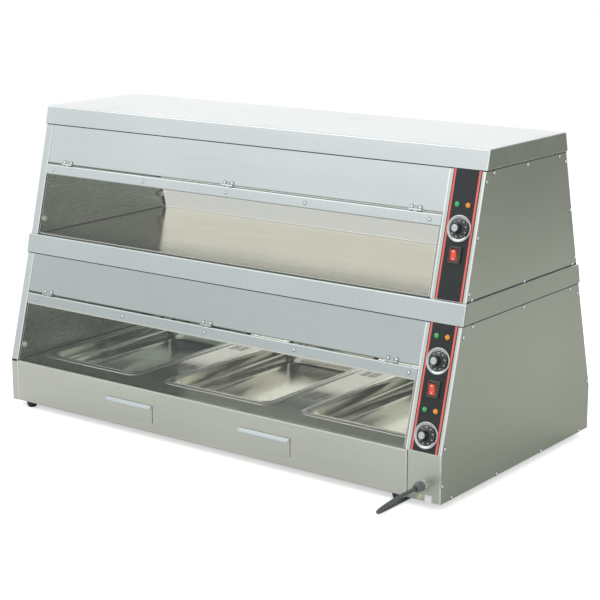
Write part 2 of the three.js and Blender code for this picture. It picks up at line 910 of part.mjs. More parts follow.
function hingeAxis(tier) {
  return tier.slope.point(fasciaDrop - axisAboveFasciaEdge, axisProud);
}

function knuckle(tier, face, radius, x0, x1) {
  const [y, z] = facing([hingeAxis(tier)], face)[0];
  return cylinderX(radius, x0, x1, y, z, knuckleFacets);
}

// The fixed leaf with its two outer knuckles, and the pin between them
function fixedHinge(tier, face, x) {
  const half = hingeWidth / 2;
  const inner = hingeWidth / 6 + seam;
  const axisAt = fasciaDrop - axisAboveFasciaEdge;
  const leafTop = fasciaDrop - hingeLeafHeight;
  const leaf = (x0, x1, end) => slab(tier, face, x0, x1, leafTop, end, -sheet / 2, leafThickness);
  return join(
    leaf(x - half, x + half, axisAt - knuckleRadius - seam),
    leaf(x - half, x - inner, axisAt),
    leaf(x + inner, x + half, axisAt),
    knuckle(tier, face, knuckleRadius, x - half, x - inner),
    knuckle(tier, face, knuckleRadius, x + inner, x + half),
    knuckle(tier, face, pinRadius, x - half + seam, x + half - seam),
  );
}

// The moving leaf lies on the strip's top fold and carries the middle knuckle
function movingHinge(tier, face, x) {
  const half = hingeWidth / 6;
  const leaf = slab(tier, face, x - half, x + half, stripTop - leafThickness, stripTop + sheet / 2,
    axisProud - movingLeafReach, axisProud);
  return [leaf, knuckle(tier, face, knuckleRadius, x - half, x + half)];
}

function bumper(tier, face, side) {
  const { point, length } = tier.slope;
  const drop = length - bumperRise / Math.cos(tier.slope.angle);
  const [y, z] = facing([point(drop, glassBack - seam - bumperRadius)], face)[0];
  const edge = bumperRadius / 4;
  const profile = [
    [0, 0],
    [bumperRadius, 0],
    [bumperRadius, bumperLength - edge],
    [bumperRadius - edge, bumperLength],
    [0, bumperLength],
  ];
  const wall = side < 0 ? liningLeft : liningRight;
  return latheZ(profile, bumperFacets).rotateY(-side * Math.PI / 2).translate(wall, y, z);
}

// Controls

// The dial skirt and fluted grip are one moulding that turns on the thermostat's shaft
function knob() {
  const turned = latheZ([
    [shaftRadius + seam, 0],
    [skirtRadius, 0],
    [skirtRadius, skirtEdge],
    [gripBaseRadius, skirtEdge + skirtCrown],
    [gripRadius, 2 * skirtEdge + skirtCrown],
    [gripTopRadius, knobHeight - gripEdge],
    [knobCapRadius, knobHeight],
    [knobCapRadius, knobHeight - knobCapRelief],
    [0, knobHeight - knobCapRelief],
    [0, shaftLength],
    [shaftRadius + seam, shaftLength],
    [shaftRadius + seam, 0],
  ], dialFacets);
  const low = 2 * skirtEdge + skirtCrown;
  const flutes = Array.from({ length: fluteCount }, (_, i) => {
    const angle = i * 2 * Math.PI / fluteCount;
    const fluteLength = knobHeight - low - gripEdge;
    const flute = new THREE.CylinderGeometry(fluteRadius, fluteRadius, fluteLength, fluteFacets);
    flute.rotateX(Math.PI / 2);
    return flute.translate(
      (gripRadius + fluteRadius / 3) * Math.cos(angle),
      (gripRadius + fluteRadius / 3) * Math.sin(angle),
      (knobHeight + low - gripEdge) / 2 - gripEdge);
  });
  return cut(turned, ...flutes);
}

// The thermostat behind the panel, its bush and shaft, and the dished bezel that the bush holds outside
function thermostat(slope, s) {
  const back = -sheet - seam;
  const rest = controlsRest;
  const bush = shaftHole - seam;
  const profile = [
    [0, back - thermostatDepth],
    [thermostatRadius, back - thermostatDepth],
    [thermostatRadius, back],
    [bush, back],
    [bush, rest],
    [bezelRadius, rest],
    [bezelRadius, rest + bezelHeight - bezelChamfer],
    [bezelRadius - bezelChamfer, rest + bezelHeight],
    [bezelBore + bezelChamfer / 2, rest + bezelHeight],
    [bezelBore, rest + bezelHeight - bezelChamfer / 2],
    [bezelBore, rest + bezelFloor],
    [shaftRadius, rest + bezelFloor],
    [shaftRadius, rest + bezelFloor + shaftLength],
    [0, rest + bezelFloor + shaftLength],
  ];
  return onFront(latheZ(profile, dialFacets), slope, controlsX, s, 0);
}

// Two lamps on one holder behind the panel: green on the left, amber on the right
function lampPair(slope, s) {
  const rest = controlsRest;
  const low = rest - lampStemLength;
  const profile = [
    [0, low],
    [lampStem, low],
    [lampStem, rest],
    [lampRadius, rest],
    [lampRadius, rest + lampCollar],
    [lampRadius * Math.cos(Math.PI / 6), rest + lampCollar + (lampDome - lampCollar) / 2],
    [lampRadius / 2, rest + lampDome - (lampDome - lampCollar) / 6],
    [0, rest + lampDome],
  ];
  const lamps = [-1, 1].map((side) => latheZ(profile, lampFacets).translate(side * lampSpacing / 2, 0, 0));
  const holderOutline = rectangle(lampSpacing + 2 * lampRadius, lampHolderWidth);
  const holder = plate(holderOutline, lampHolderDepth).translate(0, 0, low);
  return onFront(join(holder, ...lamps), slope, controlsX, s, 0);
}

function switchFrame(slope, s) {
  const block = (width, height, low, high) =>
    plate(rectangle(width, height), high - low).translate(0, 0, low);
  const shape = cut(
    join(
      block(switchWidth, switchHeight, 0, switchFlange),
      block(switchRimWidth, switchRimHeight, 0, switchRimRise),
      block(switchBodyWidth, switchBodyHeight, -switchBodyDepth, switchFlange),
    ),
    block(switchWellWidth, switchWellHeight, switchWellFloor, switchRimRise + overrun),
  );
  return onFront(shape, slope, controlsX, s, controlsRest);
}

// The rocker about its pivot, at rest with its upper end standing out
function rocker() {
  const half = rockerHeight / 2;
  const outline = [
    [-half, rockerEndTop],
    [-half, rockerEndBottom],
    [-rockerKeelWidth / 2, -rockerKeel],
    [rockerKeelWidth / 2, -rockerKeel],
    [half, rockerEndBottom],
    [half, rockerEndTop],
    [0, rockerDip],
  ];
  return prismX(outline, -rockerWidth / 2, rockerWidth / 2).rotateX(rockerTilt);
}

// A round tube that runs level or nearly so, with a ring of points at each place along it and flat ends
function tubeAlong(path, radius, sides) {
  const positions = [];
  const index = [];
  path.forEach((p, i) => {
    const before = path[Math.max(i - 1, 0)];
    const after = path[Math.min(i + 1, path.length - 1)];
    const along = after.clone().sub(before).normalize();
    const out = new THREE.Vector3(0, 0, 1).cross(along).normalize();
    const up = new THREE.Vector3().crossVectors(along, out);
    for (let k = 0; k < sides; k += 1) {
      const angle = k * 2 * Math.PI / sides;
      const ring = p.clone().addScaledVector(out, Math.cos(angle) * radius);
      positions.push(...ring.addScaledVector(up, Math.sin(angle) * radius).toArray());
    }
  });
  for (let i = 0; i < path.length - 1; i += 1) {
    for (let k = 0; k < sides; k += 1) {
      const [a, b] = [i * sides + k, i * sides + (k + 1) % sides];
      index.push(a, b, b + sides, a, b + sides, a + sides);
    }
  }
  const last = (path.length - 1) * sides;
  for (let k = 1; k < sides - 1; k += 1) {
    index.push(0, k + 1, k, last, last + k, last + k + 1);
  }
  const geometry = new THREE.BufferGeometry();
  geometry.setAttribute('position', new THREE.Float32BufferAttribute(positions, 3));
  geometry.setIndex(index);
  return geometry;
}

// A level element through the corners of a route, with rounded turns and a leg near each corner
function element(corners, z, legZ) {
  const radii = corners.map((_, i) => (i === 0 || i === corners.length - 1 ? 0 : elementBend));
  const path = rounded(corners, radii).map(([x, y]) => new THREE.Vector3(x, y, z));
  const reach = elementLegWidth / 2;
  const [low, high] = [z, legZ].sort((a, b) => a - b);
  const legs = corners.slice(1).map(([x, y], i) => {
    const [fromX, fromY] = corners[i];
    const [midX, midY] = [(x + fromX) / 2, (y + fromY) / 2];
    return box(midX - reach, midX + reach, midY - reach, midY + reach, low, high);
  });
  return join(tubeAlong(path, elementRadius, elementSides), ...legs);
}

// One element winds under all three pans, passing from one to the next behind the drawers
function baseElement() {
  const reach = baseElementWidth / 2;
  const corners = panCentres.flatMap((x) => [
    [x - reach, baseElementRear], [x - reach, baseElementFront],
    [x + reach, baseElementFront], [x + reach, baseElementRear],
  ]);
  const floorTop = baseZ + sheet;
  return element(corners, floorTop + baseElementRise, floorTop + seam);
}

// A hairpin element over the whole width of a shelf or a header
function airElement(z, legZ) {
  const [x0, x1] = [cavityLeft + airElementMargin, cavityRight - airElementMargin];
  const half = airElementWidth / 2;
  return element([[x1, -half], [x0, -half], [x0, half], [x1, half]], z, legZ);
}

// Mains entry

function terminalBlock() {
  const x0 = cavityRight + sheet + seam;
  const z0 = baseZ + terminalRise;
  const base = box(x0, x0 + terminalDepth, -terminalWidth / 2, terminalWidth / 2, z0, z0 + terminalHeight);
  const pitch = (terminalWidth - terminalRib) / (terminalRibs - 1);
  const ribs = Array.from({ length: terminalRibs }, (_, i) => {
    const y = -terminalWidth / 2 + i * pitch;
    return box(x0 + terminalDepth / 2, x0 + terminalDepth + terminalRibDepth, y, y + terminalRib,
      z0, z0 + terminalHeight);
  });
  return join(base, ...ribs);
}

function hexagon(acrossFlats, low, high) {
  const radius = acrossFlats / Math.sqrt(3);
  return latheZ([[0, low], [radius, low], [radius, high], [0, high]], 6);
}

// Built along +Z from the outside of the wall, then turned to point out of the front
function gland() {
  const inside = -sheet - 2 * seam;
  const shape = join(
    latheZ([
      [0, inside - glandLocknut],
      [glandStem, inside - glandLocknut],
      [glandStem, 0],
      [glandNeckRadius, 0],
      [glandNeckRadius, glandHexThickness + glandNeck],
      [glandDomeRadius, glandHexThickness + glandNeck],
      [glandDomeRadius, glandLength - glandDomeRadius],
      [(glandDomeRadius + glandMouthRadius) / 2, glandLength - glandDomeRadius / 4],
      [glandMouthRadius, glandLength],
      [0, glandLength],
    ], glandFacets),
    hexagon(glandHex, 0, glandHexThickness),
    hexagon(glandHex, inside - glandLocknut, inside),
  );
  return shape.rotateX(Math.PI / 2).translate(glandX, -baseDepth / 2 - seam, baseZ + glandRise);
}

// The cord leaves the gland, bends down and back, runs under the case and comes out behind it.
// Points in millimetres from the middle of the case.
const cordRoute = [
  [630, -377.6, 55], [630, -389, 55], [629.8, -401, 54.8], [629.1, -413, 54.3], [627.7, -425, 53.2],
  [625.6, -438.9, 51.2], [619.6, -450.8, 46.1], [610.7, -458.7, 38.4], [600.2, -461.4, 29.2],
  [589.7, -458.7, 20], [580.9, -450.8, 12.2], [574.9, -438.9, 7.1], [572.8, -425, 5.1], [572.8, -400, 4.8],
  [572.8, -365, 4.8], [572.8, -330, 4.8], [572.4, -290, 4.8], [569.5, -220, 4.8], [563, -120, 4.8],
  [552.5, 0, 4.8], [538, 110, 4.8], [518.3, 210, 4.8], [499, 290, 4.8], [487, 345, 4.8], [481.6, 380, 4.8],
  [480.2, 398, 4.8], [480, 410.7, 4.8],
];

function cordLead() {
  const route = cordRoute.map((p) => new THREE.Vector3(...p));
  const curve = new THREE.CatmullRomCurve3(route, false, 'centripetal');
  return tubeAlong(curve.getSpacedPoints(cordSteps), cordDiameter / 2, cordSides);
}

// The coil spirals in along the counter, climbs one layer in the half turn where it reverses, and spirals out
function coilPath() {
  const outerRadius = coilMeanRadius + coilPitch * coilTurns / 4;
  const centre = [coilEntryX - outerRadius, coilEntryY];
  const lowZ = cordDiameter / 2 + floorGap;
  const turnBack = coilTurns / 2;
  const count = Math.round(coilTurns * coilStepsPerTurn);
  const points = [];
  for (let i = 0; i <= count; i += 1) {
    const turn = coilTurns * i / count;
    const radius = outerRadius - coilPitch * (turnBack - Math.abs(turn - turnBack));
    const climb = THREE.MathUtils.smoothstep(turn, turnBack - 1 / 4, turnBack + 1 / 4);
    const angle = turn * 2 * Math.PI;
    points.push(new THREE.Vector3(
      centre[0] + radius * Math.cos(angle), centre[1] + radius * Math.sin(angle), lowZ + climb * coilLayer));
  }
  return points;
}

// Least gap between stretches of a round tube that are more than half a turn apart along it
function leastGap(points, stepsPerTurn, diameter) {
  let least = Infinity;
  points.forEach((p, i) => {
    for (let j = i + Math.round(stepsPerTurn / 2); j < points.length - 1; j += 1) {
      const stretch = new THREE.Line3(points[j], points[j + 1]);
      const nearest = stretch.closestPointToPoint(p, true, new THREE.Vector3());
      least = Math.min(least, nearest.distanceTo(p) - diameter);
    }
  });
  return least;
}

const coilPoints = coilPath();
const coilEndAngle = coilTurns * 2 * Math.PI;
const coilEndHeading = new THREE.Vector3(-Math.sin(coilEndAngle), Math.cos(coilEndAngle), 0);

// The coil is one unbroken tube, with a straight end one diameter long past either end
function cordCoil() {
  const entry = coilPoints[0].clone().add(new THREE.Vector3(0, -cordDiameter, 0));
  const exit = coilPoints[coilPoints.length - 1].clone().addScaledVector(coilEndHeading, cordDiameter);
  return tubeAlong([entry, ...coilPoints, exit], cordDiameter / 2, coilSides);
}

// Two-pin plug with a tapered boot, lying on the counter past the coil's end
function plug() {
  const bodyStart = plugBootLength + plugTaper;
  const bodyEnd = bodyStart + plugBody;
  const pin = (side) => {
    const pinLength = plugPinLength + plugRim;
    const shape = new THREE.CylinderGeometry(plugPinRadius, plugPinRadius, pinLength, lampFacets);
    return shape.rotateX(Math.PI / 2).translate(
      side * plugPinSpacing / 2, 0, bodyEnd + (plugPinLength - plugRim) / 2);
  };
  return join(
    latheZ([
      [0, 0],
      [plugBootRadius, 0],
      [plugBootEnd, plugBootLength],
      [plugRadius - plugRim, bodyStart],
      [plugRadius, bodyStart + plugRim],
      [plugRadius, bodyEnd - plugRim],
      [plugRadius - plugRim, bodyEnd],
      [0, bodyEnd],
    ], plugFacets),
    pin(-1),
    pin(1),
  );
}

function placePlug(mesh) {
  const start = coilPoints[coilPoints.length - 1].clone();
  start.addScaledVector(coilEndHeading, cordDiameter + seam);
  const length = plugBootLength + plugTaper + plugRim;
  const rise = plugRadius + floorGap - start.z;
  const axis = coilEndHeading.clone().multiplyScalar(Math.sqrt(length * length - rise * rise)).setZ(rise);
  mesh.quaternion.setFromUnitVectors(new THREE.Vector3(0, 0, 1), axis.normalize());
  mesh.position.copy(start);
}

// Assembly

add('top_cap', rimShell(capTopDepth, capBottomDepth, capBottomZ, topZ), 'casing');
add('shelf', rimShell(shelfTopDepth, shelfBottomDepth, shelfBottomZ, shelfTopZ), 'lining');
add('base', base(), 'casing');
add('deck', deck(), 'lining');

for (const tier of tiers) {
  add(`${tier.name}_header`, header(tier), 'casing');
  add(`${tier.name}_left_wall`, leftWall(tier), 'casing');
  add(`${tier.name}_column`, column(tier), 'casing');
  add(`${tier.name}_right_side`, sidePanel(tier), 'casing');
  add(`${tier.name}_overlay`, overlay(tier), 'overlay');
}

for (const [side, face] of [['front', front], ['rear', rear]]) {
  const y = face * (baseDepth / 2 - footInsetY);
  add(`${side}_left_foot`, foot(outerLeft + footInsetX, y), 'blackRubber');
  add(`${side}_right_foot`, foot(cavityRight - footInsetColumn, y), 'blackRubber');
}

['left_pan', 'middle_pan', 'right_pan'].forEach((name, i) => {
  add(name, pan(), 'pan').position.x = panCentres[i];
});
['left_drawer', 'right_drawer'].forEach((name, i) => add(name, drawer(stripCentres[i]), 'casing'));

for (const tier of tiers) {
  for (const [side, face] of [['front', front], ['rear', rear]]) {
    const name = `${tier.name}_${side}`;
    add(`${name}_strip`, flapStrip(tier, face), 'casing');
    add(`${name}_glass`, flapGlass(tier, face), 'clear');
    add(`${name}_left_bumper`, bumper(tier, face, -1), 'cream');
    add(`${name}_right_bumper`, bumper(tier, face, 1), 'cream');
  }
}

const dials = [
  ['upper', upperFace, upperDialAt],
  ['air', lowerFace, airDialAt],
  ['bath', lowerFace, bathDialAt],
];
for (const [name, slope, s] of dials) {
  add(`${name}_thermostat`, thermostat(slope, s), 'chrome');
  seatOnFront(add(`${name}_knob`, knob(), 'knob'), slope, controlsX, s, controlsRest + bezelFloor + seam);
}
for (const tier of tiers) {
  add(`${tier.name}_switch`, switchFrame(tier.slope, tier.switchAt), 'frame');
  seatOnFront(add(`${tier.name}_rocker`, rocker(), 'rocker'), tier.slope, controlsX, tier.switchAt,
    controlsRest + rockerPivot);
}
add('upper_lamps', lampPair(upperFace, upperLampsAt), 'greenLens');
add('air_lamps', lampPair(lowerFace, airLampsAt), 'greenLens');
add('bath_lamps', lampPair(lowerFace, bathLampsAt), 'greenLens');

const headerTop = lowerFace.point(fasciaDrop, 0)[1] + sheet;
add('base_element', baseElement(), 'element');
add('header_element', airElement(headerTop + airElementGap, headerTop + seam), 'element');
add('shelf_element', airElement(shelfTopZ - sheet - airElementGap, shelfTopZ - sheet - seam), 'element');
add('terminal_block', terminalBlock(), 'bakelite');

add('cord_gland', gland(), 'gland');

// The origin lies under the middle of the case without its cord
const caseBox = new THREE.Box3().setFromObject(displayCase, true);
add('cord_lead', cordLead(), 'blackRubber');
add('cord_coil', cordCoil(), 'blackRubber');
placePlug(add('mains_plug', plug(), 'blackRubber'));
displayCase.position.y = -(caseBox.min.y + caseBox.max.y) / 2;
displayCase.updateMatrixWorld(true);

console.log(`least gap in the coil: ${leastGap(coilPoints, coilStepsPerTurn, cordDiameter).toFixed(2)} mm`);

export default displayCase;
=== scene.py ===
import math

import bmesh
import bpy
from mathutils import Matrix, Vector


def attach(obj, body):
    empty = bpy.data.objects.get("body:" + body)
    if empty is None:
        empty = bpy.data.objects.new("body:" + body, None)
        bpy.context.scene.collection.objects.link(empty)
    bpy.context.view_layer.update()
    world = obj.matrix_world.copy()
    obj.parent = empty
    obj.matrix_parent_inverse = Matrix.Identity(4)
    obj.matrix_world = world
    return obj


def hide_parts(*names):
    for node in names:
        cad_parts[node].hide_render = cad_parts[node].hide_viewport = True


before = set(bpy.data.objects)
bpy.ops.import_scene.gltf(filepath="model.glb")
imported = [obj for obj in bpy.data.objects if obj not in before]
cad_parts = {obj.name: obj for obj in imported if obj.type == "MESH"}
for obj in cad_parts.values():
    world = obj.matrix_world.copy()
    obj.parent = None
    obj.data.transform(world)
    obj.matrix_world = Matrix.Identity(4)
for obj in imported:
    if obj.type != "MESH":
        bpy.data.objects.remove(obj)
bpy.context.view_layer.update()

MM = 0.001
QUARTER = math.pi / 2
# From the middle of the case, which part.mjs measures from, to the origin of the row
CASE_Y = 16.15

# Sizes repeated from part.mjs, in millimetres
FOOT_TOP = 17
KNEE_Z = 129
LOWER_TOP = 408
SHELF_TOP = 456
UPPER_TOP = 741
CAVITY_LEFT, CAVITY_RIGHT = -651, 583.5
END_X = 676
BASE_DEPTH = 690
HINGE_XS = (-578, -33.75, 510.5)
PAN_XS = (-466.95, -33.75, 399.45)
OVERLAY_X = 630.25
CONTROLS_T = 1.6
# The middles of the strips of deck between the pans, which carry the slots and have a drawer below
BETWEEN_PANS = tuple((x0 + x1) / 2 for x0, x1 in zip(PAN_XS, PAN_XS[1:]))


def metres(x, y, z):
    """A place in the row, from millimetres about the middle of the case."""
    return Vector((x * MM, (y + CASE_Y) * MM, z * MM))


def at(x, y, z, turn=0, axis="X"):
    """A frame in millimetres at a place of the case, turned about one axis."""
    return Matrix.Translation(metres(x, y, z)) @ Matrix.Rotation(turn, 4, axis) @ Matrix.Scale(MM, 4)


class Slope:
    """One sloped face of a tier, mirrored for the rear."""

    def __init__(self, top_depth, upper_z, bottom_depth, lower_z):
        run = (bottom_depth - top_depth) / 2
        rise = upper_z - lower_z
        self.angle = math.atan2(run, rise)
        self.length = math.hypot(run, rise)
        self.half = top_depth / 2
        self.upper_z = upper_z

    def place(self, x, s, t, rear=False):
        """A local frame in millimetres, s down the face and t out of it: X along it, Y up, Z out."""
        sin, cos = math.sin(self.angle), math.cos(self.angle)
        out = self.half + s * sin + t * cos
        z = self.upper_z - s * cos + t * sin
        sign = 1 if rear else -1
        across = Vector((-sign, 0, 0))
        up = Vector((0, -sign * sin, cos))
        normal = Vector((0, sign * cos, sin))
        matrix = Matrix((across, up, normal)).transposed().to_4x4()
        matrix.translation = metres(x, sign * out, z)
        return matrix @ Matrix.Scale(MM, 4)


UPPER = Slope(362, UPPER_TOP, 509, SHELF_TOP)
LOWER = Slope(537, LOWER_TOP, BASE_DEPTH, KNEE_Z)
BASE_FACE = Slope(BASE_DEPTH, KNEE_Z, BASE_DEPTH, FOOT_TOP)
SIDES = (("front", False), ("rear", True))
TIERS = (("upper", UPPER), ("lower", LOWER))
FACES = [(tier, f"{tier}_{side}", slope, rear) for tier, slope in TIERS for side, rear in SIDES]

# ---- camera

# Fitted to the edges of the case in the photograph
AZIMUTH = math.radians(37.068)
ELEVATION = math.radians(13.562)
ROLL = math.radians(-0.132)
CAMERA_AT = (2.50594, -3.263954, 1.31466)
FOCAL_LENGTH = 99.385


def add_camera():
    level = math.cos(ELEVATION)
    look = Vector((-math.sin(AZIMUTH) * level, math.cos(AZIMUTH) * level, -math.sin(ELEVATION)))
    right = Vector((math.cos(AZIMUTH), math.sin(AZIMUTH), 0))
    up = right.cross(look)
    turned_right = right * math.cos(ROLL) + up * math.sin(ROLL)
    turned_up = up * math.cos(ROLL) - right * math.sin(ROLL)
    data = bpy.data.cameras.new("camera")
    data.lens = FOCAL_LENGTH
    data.sensor_width = 36
    data.clip_end = 100
    camera = bpy.data.objects.new("camera", data)
    matrix = Matrix((turned_right, turned_up, -look)).transposed().to_4x4()
    matrix.translation = Vector(CAMERA_AT)
    camera.matrix_world = matrix
    bpy.context.scene.collection.objects.link(camera)
    bpy.context.scene.camera = camera


add_camera()
bpy.context.scene.view_settings.view_transform = "Standard"

# ---- node helpers

# A noise texture's values lie mostly between these
NOISE_LOW, NOISE_HIGH = 0.3, 0.7


class Graph:
    """A node tree, with short calls for the nodes used here."""

    def __init__(self, owner):
        owner.use_nodes = True
        self.owner = owner
        self.tree = owner.node_tree
        self.coordinates = self.tree.nodes.new("ShaderNodeTexCoord")

    def feed(self, socket, value):
        """Links a socket, or sets its value. A colour of three numbers gets its alpha."""
        if isinstance(value, bpy.types.NodeSocket):
            self.tree.links.new(value, socket)
        elif socket.type == "RGBA":
            socket.default_value = (*value, 1)
        else:
            socket.default_value = value

    def set(self, **values):
        """Sets inputs of the material's own shader."""
        shader = self.tree.nodes["Principled BSDF"]
        for name, value in values.items():
            self.feed(shader.inputs[name.replace("_", " ")], value)
        return self.owner

    def node(self, kind, settings=None, **inputs):
        """A node with its inputs by name, or by number as i0, i1 and so on."""
        made = self.tree.nodes.new(kind)
        for name, value in (settings or {}).items():
            setattr(made, name, value)
        for name, value in inputs.items():
            numbered = name[0] == "i" and name[1:].isdigit()
            self.feed(made.inputs[int(name[1:]) if numbered else name.replace("_", " ")], value)
        return made

    def place(self):
        return self.coordinates.outputs["Object"]

    def facing(self):
        """The three parts of the direction that the surface looks in."""
        return self.axes(self.coordinates.outputs["Normal"])

    def stretched(self, scale, turn=0.0):
        return self.node("ShaderNodeMapping", Vector=self.place(), Rotation=(0, 0, turn), Scale=scale).outputs[0]

    def noise(self, vector, scale, detail=3.0, roughness=0.5):
        made = self.node("ShaderNodeTexNoise", Vector=vector, Scale=scale, Detail=detail, Roughness=roughness)
        return made.outputs[0]

    def sums(self, operation, a, b=0.0, c=0.0):
        return self.node("ShaderNodeMath", {"operation": operation}, i0=a, i1=b, i2=c).outputs[0]

    def plus(self, a, b):
        return self.sums("ADD", a, b)

    def times(self, a, b):
        return self.sums("MULTIPLY", a, b)

    def without(self, a):
        return self.sums("SUBTRACT", 1, a)

    def over(self, a, b):
        return self.sums("GREATER_THAN", a, b)

    def under(self, a, b):
        return self.sums("LESS_THAN", a, b)

    def ranged(self, value, low, high, to_low, to_high):
        ends = {"From_Min": low, "From_Max": high, "To_Min": to_low, "To_Max": to_high}
        return self.node("ShaderNodeMapRange", Value=value, **ends).outputs[0]

    def spread(self, noise, low, high):
        """A noise carried over to a range of its own."""
        return self.ranged(noise, NOISE_LOW, NOISE_HIGH, low, high)

    def step(self, value, low, high):
        settings = {"interpolation_type": "SMOOTHSTEP"}
        return self.node("ShaderNodeMapRange", settings, Value=value, From_Min=low, From_Max=high).outputs[0]

    def blend(self, factor, a, b, kind="MIX"):
        settings = {"data_type": "RGBA", "blend_type": kind}
        return self.node("ShaderNodeMix", settings, i0=factor, i6=a, i7=b).outputs[2]

    def blend_vector(self, factor, a, b):
        return self.node("ShaderNodeMix", {"data_type": "VECTOR"}, i0=factor, i4=a, i5=b).outputs[1]

    def axes(self, vector):
        return self.node("ShaderNodeSeparateXYZ", Vector=vector).outputs

    def along(self, vector, direction):
        made = self.node("ShaderNodeVectorMath", {"operation": "DOT_PRODUCT"}, i0=vector, i1=direction)
        return made.outputs["Value"]

    def bump(self, height, distance, strength, normal=None):
        base = {} if normal is None else {"Normal": normal}
        return self.node("ShaderNodeBump", Height=height, Distance=distance, Strength=strength, **base).outputs[0]

    def rounded(self, radius):
        return self.node("ShaderNodeBevel", {"samples": 4}, Radius=radius).outputs[0]

    def bare_metal(self, colour, bright, roughness, normal):
        """Makes the material a metal, with its colour varied by a brightness."""
        shade = self.blend(1, colour, bright, "MULTIPLY")
        return self.set(Base_Color=shade, Roughness=roughness, Normal=normal, Metallic=1.0)

    def partly(self, share, shader):
        """The material's own shader, and a share of another."""
        own = self.tree.nodes["Principled BSDF"].outputs[0]
        mixed = self.node("ShaderNodeMixShader", i0=share, i1=own, i2=shader.outputs[0])
        self.tree.links.new(mixed.outputs[0], self.tree.nodes["Material Output"].inputs["Surface"])
        return self.owner


def new_graph(name):
    return Graph(bpy.data.materials.new(name))


# ---- materials

SHEET_RELIEF = 0.0000016
# From these parts of its direction on, a face counts as looking along an axis
FACING_END = 0.7
FACING_FLAT = 0.9
# A darker steel for the shelf's right-hand ends: painted shade
SHADED_END_STEEL = (0.41, 0.437, 0.386)


def grain(g, along, across):
    """Places stretched to a grain along X, or along Y on the faces that look along X."""
    is_end = g.over(g.sums("ABSOLUTE", g.facing()[0]), FACING_END)
    return g.blend_vector(is_end, g.stretched((along, across, across)), g.stretched((across, along, across)))


def steel(name, colour, roughness, cloud=0.04, lines=0.0045, relief=SHEET_RELIEF, end=None, inner=None, top=None,
          lip=None):
    """Sheet steel with a long grain, faint clouding and finger smudges.

    Its right-hand end, the faces that look into a cavity and its top can have their own colours, darker ones that
    are painted shade, and a pull lip a paler, bluer one that is a painted reflection of the sky.
    """
    g = new_graph(name)
    fine = g.noise(grain(g, 5, 620), 1.0, 4, 0.6)
    broad = g.noise(grain(g, 1.5, 40), 1.0, 2)
    clouds = g.noise(g.place(), 2.4, 3, 0.4)
    smudges = g.step(g.noise(g.stretched((1, 1.3, 0.8)), 11, 5, 0.62), 0.54, 0.72)
    shade = g.plus(g.spread(fine, -lines, lines), g.spread(clouds, -cloud, cloud))
    shade = g.plus(shade, g.spread(broad, -0.012, 0.012))
    x, y, z = g.facing()
    # A darker colour on the right-hand end: painted shade
    if end:
        colour = g.blend(g.over(x, FACING_END), colour, end)
    # A darker colour on the faces that look into a cavity: painted shade
    if inner:
        colour = g.blend(g.over(x, FACING_FLAT), colour, inner)
    # A darker colour on the top: painted shade
    if top:
        colour = g.blend(g.over(z, FACING_FLAT), colour, top)
    if lip:
        # The one face that looks up and forwards, whose lip colour is a painted reflection of the sky
        colour = g.blend(g.times(g.over(z, 0.3), g.under(y, -0.2)), colour, lip)
    rough = g.plus(g.spread(fine, roughness - 0.012, roughness + 0.018), g.times(smudges, 0.05))
    return g.bare_metal(colour, g.plus(shade, 1), rough, g.bump(fine, relief, 0.3))


def shelf_steel(name, outside, floor, roughness, polished):
    """As steel, but polished and warmer on the cavity's floor. The floor's warm colour is a painted reflection of
    the room, its darkening towards the front is painted shade, and the darker right-hand ends are painted shade
    too.
    """
    g = new_graph(name)
    fine = g.noise(grain(g, 5, 620), 1.0, 4, 0.6)
    clouds = g.noise(g.place(), 3.2, 3, 0.45)
    facing, place = g.facing(), g.axes(g.place())
    between = g.times(g.over(place[0], CAVITY_LEFT * MM), g.under(place[0], CAVITY_RIGHT * MM))
    is_floor = g.times(g.over(facing[2], FACING_FLAT), between)
    streaks = g.noise(g.stretched((1.2, 26, 26)), 1.0, 3)
    shade = g.plus(g.spread(fine, -0.009, 0.009), g.spread(clouds, -0.04, 0.04))
    bright = g.plus(1, g.plus(shade, g.times(is_floor, g.spread(streaks, -0.045, 0.045))))
    # The polished floor is painted darker towards its front edge: painted shade
    front_shade = g.without(g.step(place[1], -0.24, -0.05))
    bright = g.times(bright, g.without(g.times(g.times(front_shade, is_floor), 0.53)))
    colour = g.blend(is_floor, g.blend(g.over(facing[0], FACING_END), outside, SHADED_END_STEEL), floor)
    base = g.plus(roughness, g.times(is_floor, polished - roughness))
    return g.bare_metal(colour, bright, g.plus(base, g.spread(fine, -0.02, 0.03)), g.bump(fine, SHEET_RELIEF, 0.3))


def scratched(name, colour, floor):
    """Drawn and polished pan steel with fine crossing scratches and water marks."""
    g = new_graph(name)
    first = g.noise(g.stretched((14, 500, 90)), 1.0, 3, 0.6)
    second = g.noise(g.stretched((16, 420, 90), 1.1), 1.0, 3, 0.6)
    scratches = g.sums("MAXIMUM", g.step(first, 0.62, 0.75), g.step(second, 0.64, 0.76))
    marks = g.step(g.noise(g.place(), 26, 5, 0.6), 0.5, 0.7)
    dents = g.noise(g.place(), 7, 2, 0.4)
    # The level floor is rougher than the drawn walls, and painted paler: painted light
    level = g.times(g.over(g.facing()[2], 0.985), g.under(g.axes(g.place())[2], 0.11))
    rough = g.plus(g.sums("MULTIPLY_ADD", scratches, 0.16, 0.10), g.times(marks, 0.07))
    rough = g.sums("MULTIPLY_ADD", level, 0.09, rough)
    bright = g.spread(g.noise(g.place(), 5, 3), 0.93, 1.05)
    normal = g.bump(dents, 0.0009, 0.3, g.bump(scratches, 0.00002, 0.5))
    return g.bare_metal(g.blend(level, colour, floor), bright, rough, normal)


def metal(name, colour, roughness, scale=400, spread=0.05):
    """A small bright metal piece."""
    g = new_graph(name)
    speckle = g.noise(g.place(), scale, 4, 0.6)
    rough = g.spread(speckle, roughness, roughness + spread)
    return g.bare_metal(colour, g.spread(speckle, 0.94, 1.04), rough, g.bump(speckle, 0.00002, 0.4))


